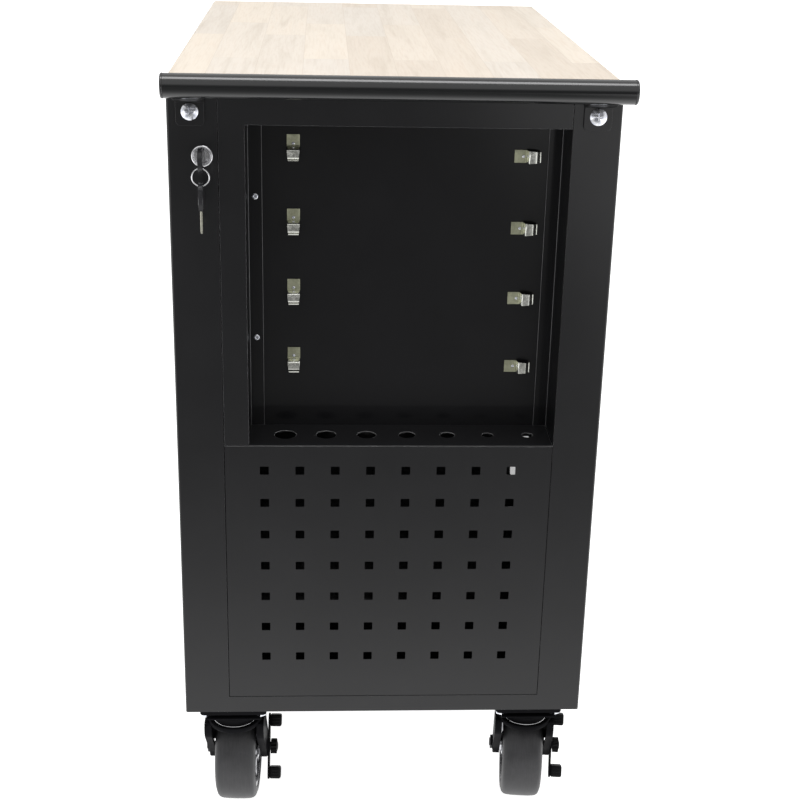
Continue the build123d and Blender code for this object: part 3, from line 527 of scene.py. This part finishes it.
# ---------------- lock, keys and ring
def lock_face():
    """Stepped bezel and barrel of the lock."""
    low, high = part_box("lock_housing")
    center = Vector((0, (low.y + high.y) / 2, (low.z + high.z) / 2))
    face = high.x
    rim = (high.y - low.y) / 2
    sheet_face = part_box("side_frame")[1].x
    bore = 7.25 * MM
    profile = [
        (bore, face - 18 * MM), (9.3 * MM, face - 18 * MM), (9.3 * MM, sheet_face),
        (rim, sheet_face), (rim, face - 0.9 * MM), (rim - 0.35 * MM, face - 0.35 * MM),
        (rim - 1.0 * MM, face), (rim - 1.7 * MM, face), (rim - 2.1 * MM, face - 0.45 * MM),
        (bore + 0.8 * MM, face - 0.5 * MM),
        (bore + 0.5 * MM, face - 0.1 * MM), (bore + 0.1 * MM, face - 0.1 * MM), (bore, face - 0.4 * MM),
    ]
    bm = bmesh.new()
    closed_lathe(bm, center, (1, 0, 0), profile, 72)
    place(bm, "lock_bezel", "chest", CHROME, "lock_chrome", smooth=28, replaces=("lock_housing",))


def key_head_outline(center_v, width, height):
    """Rounded key head: wide at the ring end, waisted towards the blade."""
    half = width / 2
    points = []
    for i in range(25):
        angle = math.pi * i / 24
        points.append((half * math.cos(angle), center_v + height * 0.28 + half * math.sin(angle) * 0.75))
    waist = [(-0.98, 0.10), (-0.94, -0.12), (-0.80, -0.30), (-0.60, -0.42), (-0.55, -0.50)]
    for u, v in waist:
        points.append((half * u, center_v + height * v))
    for u, v in reversed(waist):
        points.append((-half * u, center_v + height * v))
    return points


def key_pieces(node, body, label, inserted):
    """Plastic key head with a raised rim and the steel blade with its groove and cuts."""
    low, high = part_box(node)
    y = (low.y + high.y) / 2
    thick = (high.y - low.y) / 2
    bm = bmesh.new()
    if inserted:
        # the blade points into the lock, along -X
        head_length = 24 * MM
        center_x = high.x - head_length / 2
        center_z = (low.z + high.z) / 2
        width = high.z - low.z

        def space(u, v, w):
            return Vector((center_x + v, y + w, center_z + u))
        blade = (low.x, high.x - head_length + 5 * MM, center_z)
    else:
        width = high.x - low.x
        head_length = 29 * MM
        center_x = (low.x + high.x) / 2
        center_z = high.z - head_length / 2

        def space(u, v, w):
            return Vector((center_x + u, y + w, center_z + v))
        blade = (low.z, high.z - head_length + 4 * MM, center_x)
    outline = key_head_outline(-0.02 * head_length, width * 0.99, head_length * 0.92)
    prism(bm, outline, space, -thick * 0.85, thick * 0.85, 0.6 * MM, 3)
    inner = [(u * 0.80, v * 0.80) for u, v in outline]
    for side in (-1, 1):
        prism(bm, inner, space, side * thick * 0.55, side * thick, 0.55 * MM, 3)
    place(bm, label + "_head", body, KEY_PLASTIC, "black_plastic", smooth=40, replaces=(node,))

    bm = bmesh.new()
    half = 4.0 * MM
    start, end, across = blade

    def blade_space(u, v, w):
        if inserted:
            return Vector((u, y + w, across + v))
        return Vector((across + v, y + w, u))
    tip = 3.0 * MM
    cuts = [(start, -half * 0.25), (start + tip, -half)]
    cut_at = start + tip + 2.5 * MM
    for depth in (1.5, 0.7, 1.9):
        cuts += [(cut_at, -half), (cut_at + 1.4 * MM, -half + depth * MM)]
        cuts += [(cut_at + 2.2 * MM, -half + depth * MM), (cut_at + 3.6 * MM, -half)]
        cut_at += 4.4 * MM
    outline = cuts + [(end, -half), (end, half), (start + tip, half), (start, half * 0.25)]
    prism(bm, outline, blade_space, -0.95 * MM, 0.95 * MM, 0.18 * MM, 2)
    groove = [(start + 2 * tip, -0.6 * MM), (end, -0.6 * MM), (end, 0.8 * MM), (start + 2 * tip, 0.8 * MM)]
    for side in (-1, 1):
        prism(bm, groove, blade_space, side * 0.90 * MM, side * 1.12 * MM)
    place(bm, label + "_blade", body, KEY_STEEL, "key_steel", smooth=30)


def split_ring():
    """Two turns of spring wire, the key ring, hanging in the hole of the inserted key."""
    low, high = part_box("key_ring")
    center = (low + high) / 2
    wire_radius = 0.62 * MM
    radius = (high.z - low.z) / 2 - 0.8 * MM
    pitch = 1.35 * MM
    turns = 2
    per_turn = 72
    points = []
    for i in range(turns * per_turn + 1):
        angle = math.radians(70) + 2 * math.pi * i / per_turn
        along = (i / (turns * per_turn) - 0.5) * pitch
        points.append(center + Vector((along, radius * math.cos(angle), radius * math.sin(angle))))
    bm = bmesh.new()
    wire(bm, points, wire_radius)
    place(bm, "split_ring", "key_ring", CHROME, "key_steel", replaces=("key_ring",))


# ---------------- spring clips and rivets of the niche
def rivet_head(bm, center, direction, radius, height, hollow=0.36):
    """A pop-rivet head: rounded flange with the sunk end of its mandrel."""
    profile = [
        (radius * 0.98, 0), (radius, height * 0.25), (radius * 0.93, height * 0.62),
        (radius * 0.74, height * 0.92), (radius * 0.55, height), (radius * (hollow + 0.08), height * 0.96),
        (radius * hollow, height * 0.72), (radius * hollow * 0.94, height * 0.2), (0, height * 0.15),
    ]
    lathe(bm, center, direction, profile, 32)


def spring_clips():
    """Bent spring-steel clips: tab on the wall, step, square hook and curled lip."""
    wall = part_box("niche_back")[1].x
    sheet = 0.9 * MM
    half = 6.7 * MM
    hook_length = 13.6 * MM
    tab_line = [(0.5, 13.6), (0.5, 1.6), (0.9, 0.6)]
    hook_line = [(0.9, 0.9), (7.9, -1.2), (8.2, -9.6), (5.2, -12.6), (5.9, -13.6)]
    tab = thick_line(rounded_path([(x * MM, z * MM) for x, z in tab_line], 1.0 * MM), sheet)
    hook = thick_line(rounded_path([(x * MM, z * MM) for x, z in hook_line], 1.5 * MM), sheet)
    # stiffening bead pressed across the step of the clip
    bead = [(x * MM, z * MM) for x, z in ((1.0, 2.3), (1.6, 2.0), (1.9, 1.3), (1.2, 1.2))]
    lip_taper = 0.18
    tabs = bmesh.new()
    hooks = bmesh.new()
    studs = bmesh.new()
    for y, z, upright in clip_places:
        if upright:
            def space(u, v, w, y=y, z=z):
                return Vector((wall + u, y + w, z + v))
        else:
            def space(u, v, w, y=y, z=z):
                return Vector((wall + u, y - v, z + w))
        prism(tabs, tab, space, -half, half, 0.22 * MM, 2)
        # the hook narrows towards its lip
        before = len(hooks.verts)
        prism(hooks, hook, space, -half, half, 0.22 * MM, 2)
        hooks.verts.ensure_lookup_table()
        for v in hooks.verts[before:]:
            along = (z - v.co.z) if upright else (v.co.y - y)
            middle_at = y if upright else z
            narrow = 1 - lip_taper * min(max(along / hook_length, 0.0), 1.0)
            if upright:
                v.co.y = middle_at + (v.co.y - middle_at) * narrow
            else:
                v.co.z = middle_at + (v.co.z - middle_at) * narrow
        rivet_head(studs, space(0.95 * MM, 4.2 * MM, 0), (1, 0, 0), 1.7 * MM, 0.7 * MM, 0.45)
        prism(tabs, bead, space, -half * 0.94, half * 0.94)
    place(tabs, "spring_clips", "chest", CLIP_ZINC, "zinc_yellow", smooth=30, replaces=("tool_clips",))
    # the hooks wear the brighter zinc copy, a painted highlight
    place(hooks, "clip_hooks", "chest", HOOK_ZINC_HIGHLIGHT, "zinc_yellow", smooth=30)
    place(studs, "clip_studs", "chest", ZINC, "zinc_bright", smooth=40)


def packing_foam():
    """Scrap of white packing foam left behind the end panel, seen through the smallest shelf hole; it glows a
    little, painted light.
    """
    thickness, width, height = 3.6 * MM, 20 * MM, 46 * MM
    stands_at_y, middle_z = 147.5 * MM, 453 * MM
    center = (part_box("liner_right")[1].x + 2.6 * MM, stands_at_y, middle_z)
    lean = Matrix.Rotation(0.03, 3, "X")
    bm = bmesh.new()
    rounded_box(bm, center, (thickness, width, height), 1.1 * MM, lean, 3)
    place(bm, "packing_foam", "chest", GLOWING_FOAM, "zinc_bright", smooth=60)


def niche_rivets():
    """Bright pop rivets on the left flange of the niche."""
    bm = bmesh.new()
    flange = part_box("rivets")[0].x
    for y, z in rivet_places:
        rivet_head(bm, (flange, y, z), (1, 0, 0), 3.5 * MM, 1.5 * MM)
    place(bm, "pop_rivets", "chest", ZINC, "zinc_bright", smooth=45, replaces=("rivets",))


def islands(node):
    """The boxes of the separate solids of a CAD node, ordered along Y and then along Z."""
    bm = bmesh.new()
    bm.from_mesh(frame["nodes"][node].data)
    bmesh.ops.remove_doubles(bm, verts=bm.verts, dist=0.00001)
    seen, boxes = set(), []
    for start in bm.verts:
        if start.index in seen:
            continue
        stack, members = [start], []
        seen.add(start.index)
        while stack:
            v = stack.pop()
            members.append(v.co.copy())
            for edge in v.link_edges:
                other = edge.other_vert(v)
                if other.index not in seen:
                    seen.add(other.index)
                    stack.append(other)
        low = Vector(min(c[i] for c in members) for i in range(3))
        high = Vector(max(c[i] for c in members) for i in range(3))
        boxes.append((low, high))
    bm.free()
    return sorted(boxes, key=lambda b: (round(b[0].y, 3), b[0].z))


rivet_places = [((a.y + b.y) / 2, (a.z + b.z) / 2) for a, b in islands("rivets")]
clip_places = []
clip_tab = 14 * MM
for a, b in islands("tool_clips"):
    # a clip is placed by its crease, which lies one tab length from the end of the tab
    tall = (b.z - a.z) > (b.y - a.y)
    if tall:
        clip_places.append(((a.y + b.y) / 2, b.z - clip_tab, True))
    else:
        clip_places.append((a.y + clip_tab, (a.z + b.z) / 2, False))


# ---------------- wheels
def tyre_piece(node, body, turn):
    """Solid rubber tyre: crowned tread, round shoulders and a bead line on each side."""
    low, high = straight_box(node, turn)
    center = (low + high) / 2
    half = (high.y - low.y) / 2
    outer = (high.x - low.x) / 2
    inner = 48.6 * MM
    right = [
        (inner, half - 2.2 * MM), (inner + 0.8 * MM, half - 0.6 * MM), (inner + 2.4 * MM, half - 0.1 * MM),
        (inner + 3.6 * MM, half), (inner + 4.0 * MM, half - 0.5 * MM), (inner + 4.6 * MM, half - 0.5 * MM),
        (inner + 5.0 * MM, half - 0.15 * MM), (inner + 6.6 * MM, half - 0.9 * MM),
        (outer - 5.6 * MM, half - 1.3 * MM), (outer - 4.2 * MM, half - 1.9 * MM),
        (outer - 2.9 * MM, half - 2.9 * MM), (outer - 1.9 * MM, half - 4.1 * MM),
        (outer - 1.15 * MM, half - 5.8 * MM), (outer - 0.6 * MM, half - 8.2 * MM),
        (outer - 0.15 * MM, half - 14 * MM),
    ]
    profile = right + [(outer, 0)] + [(r, -a) for r, a in reversed(right)]
    bm = bmesh.new()
    closed_lathe(bm, center, (0, 1, 0), profile, 144)
    place(bm, node.replace("tyre", "tread") + "_rubber", body, TYRE, "tyre_rubber", 60, (node,), turn)


def core_piece(node, body, turn):
    """Wheel body: rim, web, hub and radial ribs, with a dust cap over each bearing."""
    low, high = straight_box(node, turn)
    center = (low + high) / 2
    rim = (high.x - low.x) / 2
    half = 22.6 * MM
    web = 9 * MM
    bore = 5.3 * MM
    hub_end = (high.y - low.y) / 2
    right = [
        (bore, hub_end), (9.6 * MM, hub_end), (10.6 * MM, hub_end - 1 * MM), (10.8 * MM, half + 0.5 * MM),
        (15.2 * MM, half - 0.2 * MM), (16.4 * MM, half - 1.4 * MM), (17.4 * MM, web + 1.2 * MM),
        (18.8 * MM, web),
        (rim - 8.2 * MM, web), (rim - 6.4 * MM, web + 1.6 * MM), (rim - 4.6 * MM, half - 1.2 * MM),
        (rim - 3.6 * MM, half), (rim - 1.2 * MM, half), (rim - 0.3 * MM, half - 1.0 * MM),
    ]
    bm = bmesh.new()
    closed_lathe(bm, center, (0, 1, 0), mirrored(right), 96)
    ribs = 12
    rib_in = 15.5 * MM
    reach = (rim - 5 * MM) - rib_in
    for i in range(ribs):
        spoke = Matrix.Rotation(2 * math.pi * i / ribs, 3, "Y")
        for side in (-1, 1):
            out = spoke @ Vector((rib_in + reach / 2, side * (web + 5.5 * MM), 0))
            rounded_box(bm, center + out, (reach, 12.5 * MM, 2.4 * MM), 0.7 * MM, spoke, 2)
    place(bm, node.replace("core", "body") + "_ribbed", body, WHEEL_ALLOY_GLINTS, "wheel_plastic", 35, (node,), turn)
    bm = bmesh.new()
    for side in (-1, 1):
        face = center + Vector((0, side * (half - 0.4 * MM), 0))
        cap = [(11.2 * MM, 0), (13.6 * MM, 0.0), (14.0 * MM, 0.9 * MM), (13.2 * MM, 1.5 * MM),
               (12.0 * MM, 1.7 * MM), (11.2 * MM, 1.2 * MM)]
        closed_lathe(bm, face, (0, side, 0), cap, 64)
    place(bm, node.replace("core", "bearing") + "_shields", body, AXLE_STEEL, "axle_steel", 40, (), turn)


# ---------------- forks, axles and brakes
def fork_piece(place_name, body):
    """Pressed fork: round ball dish, crown and two legs, built as one piece."""
    node = "fork_" + place_name
    turn = standing(place_name)
    _, high = straight_box(node, turn)
    wheel = middle(straight_box("tyre_" + place_name, turn))
    yc = wheel.y
    axle_x, axle_z = wheel.x, wheel.z
    leg_out = high.y - yc
    leg_in = leg_out - 3 * MM
    dish_top = high.z
    dish_base = dish_top - 6.4 * MM
    dish_r = 31 * MM
    pin_x = high.x - dish_r
    bm = bmesh.new()
    dish = [
        (6.4 * MM, dish_base), (dish_r - 3.5 * MM, dish_base), (dish_r - 1.2 * MM, dish_base + 0.6 * MM),
        (dish_r, dish_base + 2.2 * MM), (dish_r, dish_top - 1.2 * MM),
        (dish_r - 0.5 * MM, dish_top - 0.3 * MM),
        (dish_r - 1.4 * MM, dish_top), (dish_r - 2.4 * MM, dish_top - 0.3 * MM),
        (dish_r - 3.2 * MM, dish_top - 1.2 * MM), (dish_r - 3.9 * MM, dish_base + 3.4 * MM),
        (6.4 * MM, dish_base + 3.0 * MM),
    ]
    closed_lathe(bm, (pin_x, yc, 0), (0, 0, 1), dish, 96)

    def leg_space(u, v, w):
        return Vector((u, yc + w, v))
    crown = dish_base + 3.9 * MM
    # height at which the front edge of a leg turns back towards the axle
    knee = 114 * MM
    outline = rounded_path([
        (pin_x - 22 * MM, crown - 6 * MM), (pin_x - 24 * MM, crown - 0.2 * MM), (pin_x - 4 * MM, crown),
        (pin_x + 15 * MM, crown - 0.2 * MM), (pin_x + 15 * MM, knee),
        (axle_x + 15 * MM, axle_z + 1 * MM), (axle_x + 9 * MM, axle_z - 10 * MM), (axle_x, axle_z - 12 * MM),
        (axle_x - 9 * MM, axle_z - 10 * MM), (axle_x - 13 * MM, axle_z + 2 * MM),
        (pin_x - 22 * MM, crown - 6 * MM),
    ], 6 * MM)[:-1]
    # the front and rear edges of each leg are turned in towards the wheel
    front_edge = thick_line(rounded_path([
        (pin_x + 13.4 * MM, crown - 2 * MM), (pin_x + 13.4 * MM, knee - 1 * MM),
        (axle_x + 13.6 * MM, axle_z + 1.5 * MM), (axle_x + 8 * MM, axle_z - 9 * MM)], 6 * MM), 2.4 * MM)
    rear_edge = thick_line(rounded_path([
        (pin_x - 21 * MM, crown - 5 * MM), (axle_x - 12.4 * MM, axle_z + 14 * MM),
        (axle_x - 11.6 * MM, axle_z + 2 * MM)], 6 * MM), 2.2 * MM)
    lip_in, lip_out = leg_in - 5.2 * MM, leg_out - 0.4 * MM
    # raised boss round the axle
    boss = [(5.4 * MM, 0), (9.5 * MM, 0), (9.0 * MM, 0.9 * MM), (8.4 * MM, 1.2 * MM), (5.4 * MM, 1.2 * MM)]
    for side in (-1, 1):
        prism(bm, outline, leg_space, side * leg_in, side * leg_out, 0.5 * MM, 2)
        prism(bm, front_edge, leg_space, side * lip_in, side * lip_out, 0.4 * MM, 2)
        prism(bm, rear_edge, leg_space, side * lip_in, side * lip_out, 0.4 * MM, 2)
        closed_lathe(bm, (axle_x, yc + side * (leg_out - 0.6 * MM), axle_z), (0, side, 0), boss, 48)
    # crown plate between the legs, rolled over at its outer edges
    half, crown_sheet = leg_out - 1.3 * MM, 2.6 * MM
    section = thick_line(rounded_path([
        (-half, crown - 9 * MM), (-half, crown - 1.4 * MM),
        (half, crown - 1.4 * MM), (half, crown - 9 * MM)], 4 * MM), crown_sheet)

    def crown_space(u, v, w):
        return Vector((w, yc + u, v))
    prism(bm, section, crown_space, pin_x - 23 * MM, pin_x + 14.6 * MM, 0.5 * MM, 2)
    place(bm, node + "_pressing", body, CASTER_BLACK, "caster_black", 40, (node,), turn)


def axle_pieces(place_name, body):
    """Axle bolt and its nut, and the toothed knob outside the brake arm."""
    node = "axle_" + place_name
    turn = standing(place_name)
    _, high = straight_box(node, turn)
    wheel = middle(straight_box("tyre_" + place_name, turn))
    fork_low, fork_high = straight_box("fork_" + place_name, turn)
    axis = Vector((wheel.x, 0, wheel.z))
    bolt_end = fork_low.y - 4.4 * MM
    shaft = [(0, bolt_end), (4.2 * MM, bolt_end), (5.0 * MM, bolt_end + 0.6 * MM),
             (5.0 * MM, high.y - 1 * MM), (0, high.y - 1 * MM)]
    bm = bmesh.new()
    lathe(bm, axis, (0, 1, 0), shaft, 40)
    corner = 8.2 * MM
    hexagon = [(corner * math.cos(math.pi * i / 3), corner * math.sin(math.pi * i / 3)) for i in range(6)]

    def nut_space(u, v, w):
        return axis + Vector((u, w, v))
    prism(bm, hexagon, nut_space, fork_low.y - 0.9 * MM, fork_low.y - 3.4 * MM, 0.6 * MM, 2)
    washer = [(5.1 * MM, 0), (8.6 * MM, 0), (8.6 * MM, 0.8 * MM), (5.1 * MM, 0.8 * MM)]
    closed_lathe(bm, (wheel.x, fork_low.y, wheel.z), (0, -1, 0), washer, 40)
    place(bm, node + "_bolt", body, BLACKED_STEEL, "axle_steel", 35, (node,), turn)

    teeth = 12
    points = teeth * 8
    outline = []
    for i in range(points):
        angle = 2 * math.pi * i / points
        radius = (8.35 + 0.75 * math.cos(teeth * angle)) * MM
        outline.append((radius * math.cos(angle), radius * math.sin(angle)))
    knob_in = fork_high.y + 4.0 * MM
    knob_out = high.y
    bm = bmesh.new()
    prism(bm, outline, nut_space, knob_in, knob_out - 1.2 * MM, 0.5 * MM, 2)
    cap = [(0, knob_out), (3.8 * MM, knob_out), (4.6 * MM, knob_out - 0.5 * MM),
           (6.2 * MM, knob_out - 0.9 * MM), (6.6 * MM, knob_out - 1.6 * MM), (0, knob_out - 1.6 * MM)]
    lathe(bm, axis, (0, 1, 0), cap, 48)
    place(bm, "brake_knob_" + place_name, body, BLACK_PLASTIC, "black_plastic", 35, (), turn)


def brake_pieces(place_name, body):
    """Flat brake arm with a rounded pedal pad at each end."""
    node = "brake_rocker_" + place_name
    turn = standing(place_name)
    low, high = straight_box(node, turn)
    wheel = middle(straight_box("tyre_" + place_name, turn))
    lean = math.radians(20)
    reach = 31.8 * MM
    arm_y = low.y
    axis = Vector((wheel.x, 0, wheel.z))
    # along the arm, from its lower end to its upper end
    up = Vector((-math.sin(lean), 0, math.cos(lean)))
    across = Vector((math.cos(lean), 0, math.sin(lean)))

    def arm_space(u, v, w):
        return axis + across * u + up * v + Vector((0, w, 0))
    half = 7.6 * MM
    end_r = half * 0.8
    tip = reach + 8.4 * MM
    outline = []
    for end, start in ((1, 0), (-1, math.pi)):
        for i in range(13):
            angle = start + math.pi * i / 12
            outline.append((end_r * math.cos(angle), end * (tip - end_r) + end_r * math.sin(angle)))
        outline.append((-end * half, end * reach * 0.25))
        outline.append((-end * half, -end * reach * 0.25))
    bm = bmesh.new()
    prism(bm, outline, arm_space, arm_y, arm_y + 2.2 * MM, 0.4 * MM, 2)
    place(bm, "brake_arm_" + place_name, body, CASTER_BLACK, "caster_black", 35, (node,), turn)

    pad_in = arm_y + 2.0 * MM
    pad_size = (12.4 * MM, high.y - pad_in, 14.2 * MM)
    tilt = Matrix((across, Vector((0, 1, 0)), up)).transposed()
    bm = bmesh.new()
    for end in (-1, 1):
        pad = axis + up * end * reach + Vector((0, (pad_in + high.y) / 2, 0))
        rounded_box(bm, pad, pad_size, 2.4 * MM, tilt, 5)
        for i in range(-1, 2):
            for face in (1, -1):
                rib = pad + across * face * 6.2 * MM + up * i * 3.6 * MM
                rounded_box(bm, rib, (0.9 * MM, 9 * MM, 1.4 * MM), 0.35 * MM, tilt, 2)
    place(bm, "brake_pads_" + place_name, body, BLACK_PLASTIC, "black_plastic", 50, (), turn)


def pin_rings(name, profile, material, slot, smooth):
    """One piece with a ring round each king pin; its heights count from the top of the fork."""
    bm = bmesh.new()
    for place_name in ("front", "rear"):
        pin_x, yc, _ = joint_of["caster_swivel_" + place_name]["pos_m"]
        fork_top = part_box("fork_" + place_name)[1].z
        closed_lathe(bm, (pin_x, yc, fork_top), (0, 0, 1), profile, 96)
    place(bm, name, "chest", material, slot, smooth)


def race_rings():
    """Ball-race cups between each mounting plate and its fork dish, with a bright seal ring below."""
    cup = [
        (22.2 * MM, 13.0 * MM), (27.2 * MM, 13.0 * MM), (28.0 * MM, 11.6 * MM), (27.6 * MM, 8.0 * MM),
        (26.0 * MM, 4.0 * MM), (24.4 * MM, 0.8 * MM), (23.6 * MM, -1.0 * MM), (22.9 * MM, -1.4 * MM),
        (22.2 * MM, -1.0 * MM),
    ]
    pin_rings("ball_race_cups", cup, CASTER_BLACK, "caster_black", 40)
    ring_r, wire_r, wire_z = 24.6 * MM, 0.9 * MM, -0.6 * MM
    seal = []
    for i in range(12):
        angle = 2 * math.pi * i / 12
        seal.append((ring_r + wire_r * math.cos(angle), wire_z + wire_r * math.sin(angle)))
    pin_rings("ball_race_seals", seal, CHROME, "lock_chrome", 60)


handle_caps()
lock_face()
key_pieces("lock_key", "lock_plug", "lock_key", True)
key_pieces("spare_key", "spare_key", "spare_key", False)
split_ring()
spring_clips()
niche_rivets()
packing_foam()
race_rings()
for place_name in ("front", "rear"):
    tyre_piece("tyre_" + place_name, "wheel_" + place_name, standing(place_name))
    core_piece("wheel_core_" + place_name, "wheel_" + place_name, standing(place_name))
    tyre_piece("rigid_tyre_" + place_name, "rigid_wheel_" + place_name, Matrix.Identity(4))
    core_piece("rigid_core_" + place_name, "rigid_wheel_" + place_name, Matrix.Identity(4))
    fork_piece(place_name, "caster_fork_" + place_name)
    axle_pieces(place_name, "caster_fork_" + place_name)
    brake_pieces(place_name, "brake_rocker_" + place_name)


# ---------------- stage, light and camera
def maths(tree, operation, *values):
    """One maths node, fed with sockets and numbers."""
    node = tree.nodes.new("ShaderNodeMath")
    node.operation = operation
    for value, socket in zip(values, node.inputs):
        if hasattr(value, "links"):
            tree.links.new(value, socket)
        else:
            socket.default_value = value
    return node.outputs[0]


def smooth_rise(tree, value, start, end, low, high):
    """A smooth change from low to high while a value goes from start to end."""
    node = tree.nodes.new("ShaderNodeMapRange")
    node.interpolation_type = "SMOOTHSTEP"
    for socket, number in zip(("From Min", "From Max", "To Min", "To Max"), (start, end, low, high)):
        node.inputs[socket].default_value = number
    tree.links.new(value, node.inputs["Value"])
    return node.outputs["Result"]


def seen_or_lit(tree, seen, lit, out):
    """Shows one shader to the camera and gives the other to everything it lights."""
    path = tree.nodes.new("ShaderNodeLightPath")
    mix = tree.nodes.new("ShaderNodeMixShader")
    tree.links.new(path.outputs["Is Camera Ray"], mix.inputs[0])
    tree.links.new(lit, mix.inputs[1])
    tree.links.new(seen, mix.inputs[2])
    tree.links.new(mix.outputs[0], out.inputs["Surface"])


def pale_floor():
    """Plain pale floor; what the chest mirrors of it is bright below and dim in front of the handle end."""
    size = 14.0
    bm = bmesh.new()
    bm.faces.new([bm.verts.new((x * size, y * size, 0)) for x, y in ((-1, -1), (1, -1), (1, 1), (-1, 1))])
    mesh = bpy.data.meshes.new("floor")
    bm.to_mesh(mesh)
    bm.free()
    floor = bpy.data.objects.new("floor", mesh)
    scene.collection.objects.link(floor)
    look = Finish("floor_white", Roughness=0.8, Specular_IOR_Level=0.1)
    look.colour(look.ramp(look.noise(1.5), [(0.3, (0.86, 0.86, 0.86)), (0.7, (0.90, 0.90, 0.90))]))
    look.shader.inputs["Emission Color"].default_value = (1.0, 1.0, 1.0, 1.0)
    look.shader.inputs["Emission Strength"].default_value = 0.90
    position = look.add("ShaderNodeNewGeometry")
    parts = look.add("ShaderNodeSeparateXYZ")
    look.link(position.outputs["Position"], parts.inputs[0])
    tree = look.tree
    # past 0.5 m from the middle of the chest the glow falls off with distance
    past = maths(tree, "MAXIMUM", maths(tree, "SUBTRACT", parts.outputs["X"], 0.50), 0.0)
    fall = maths(tree, "ADD", maths(tree, "POWER", maths(tree, "DIVIDE", past, 0.42), 2.0), 1.0)
    near = maths(tree, "DIVIDE", 1.18, fall)
    # the floor stays bright to both sides, where only rounded edges mirror it
    aside = maths(tree, "ABSOLUTE", maths(tree, "ADD", parts.outputs["Y"], 0.14))
    wide = smooth_rise(tree, aside, 0.55, 1.20, 0.14, 1.15)
    glow = look.add("ShaderNodeEmission")
    look.link(maths(tree, "ADD", near, wide), glow.inputs["Strength"])
    out = next(n for n in tree.nodes if n.type == "OUTPUT_MATERIAL")
    seen_or_lit(tree, look.shader.outputs[0], glow.outputs[0], out)
    mesh.materials.append(look.material)


def soft_room():
    """Soft white room: bright above and to both sides, dim at eye level, so black paint keeps its depth."""
    world = bpy.data.worlds.new("studio")
    scene.world = world
    world.use_nodes = True
    tree = world.node_tree
    tree.nodes.clear()
    seen = tree.nodes.new("ShaderNodeBackground")
    seen.inputs["Color"].default_value = (1.0, 1.0, 1.0, 1.0)
    lit = tree.nodes.new("ShaderNodeBackground")
    direction = tree.nodes.new("ShaderNodeTexCoord")
    parts = tree.nodes.new("ShaderNodeSeparateXYZ")
    tree.links.new(direction.outputs["Generated"], parts.inputs[0])
    above = smooth_rise(tree, parts.outputs["Z"], 0.16, 0.48, 0.16, 1.05)
    flank = smooth_rise(tree, maths(tree, "ABSOLUTE", parts.outputs["Y"]), 0.60, 0.92, 0.0, 1.1)
    tree.links.new(maths(tree, "MAXIMUM", above, flank), lit.inputs["Strength"])
    out = tree.nodes.new("ShaderNodeOutputWorld")
    seen_or_lit(tree, seen.outputs[0], lit.outputs[0], out)


def soft_box(name, height, size, radiance):
    """A box light over the handle end, facing straight down; its brightness is given as radiance."""
    light = bpy.data.lights.new(name, "AREA")
    light.shape = "RECTANGLE"
    light.size, light.size_y = size
    light.energy = radiance * math.pi * size[0] * size[1]
    lamp = bpy.data.objects.new(name, light)
    scene.collection.objects.link(lamp)
    lamp.location = (0.60, 0.0, height)
    lamp.rotation_euler = Vector((0, 0, -1)).to_track_quat("-Z", "Y").to_euler()
    return lamp


def main_camera():
    """Camera past the handle end, above the worktop, looking down."""
    position = Vector((1.7846, -0.0759, 1.1009))
    yaw, pitch, roll = 0.05735, -0.3640, 0.0240
    forward = Vector((-math.cos(yaw), math.sin(yaw), 0.0)) * math.cos(pitch)
    forward.z = math.sin(pitch)
    level = Vector((math.sin(yaw), math.cos(yaw), 0.0))
    above = level.cross(forward)
    right = level * math.cos(roll) + above * math.sin(roll)
    up = above * math.cos(roll) - level * math.sin(roll)
    data = bpy.data.cameras.new("camera")
    data.lens = 66.65
    data.sensor_width = 36.0
    camera = bpy.data.objects.new("camera", data)
    scene.collection.objects.link(camera)
    turn = Matrix((right, up, -forward)).transposed().to_4x4()
    camera.matrix_world = Matrix.Translation(position) @ turn
    scene.camera = camera


pale_floor()
soft_room()
# one box lights the chest, the other shows only as the bright line along the handle tube
soft_box("overhead", 3.2, (2.6, 0.8), 5.5).visible_glossy = False
soft_box("strip", 3.1, (0.85, 2.6), 4.6).visible_diffuse = False
main_camera()
scene.view_settings.view_transform = "Standard"
scene.view_settings.look = "None"
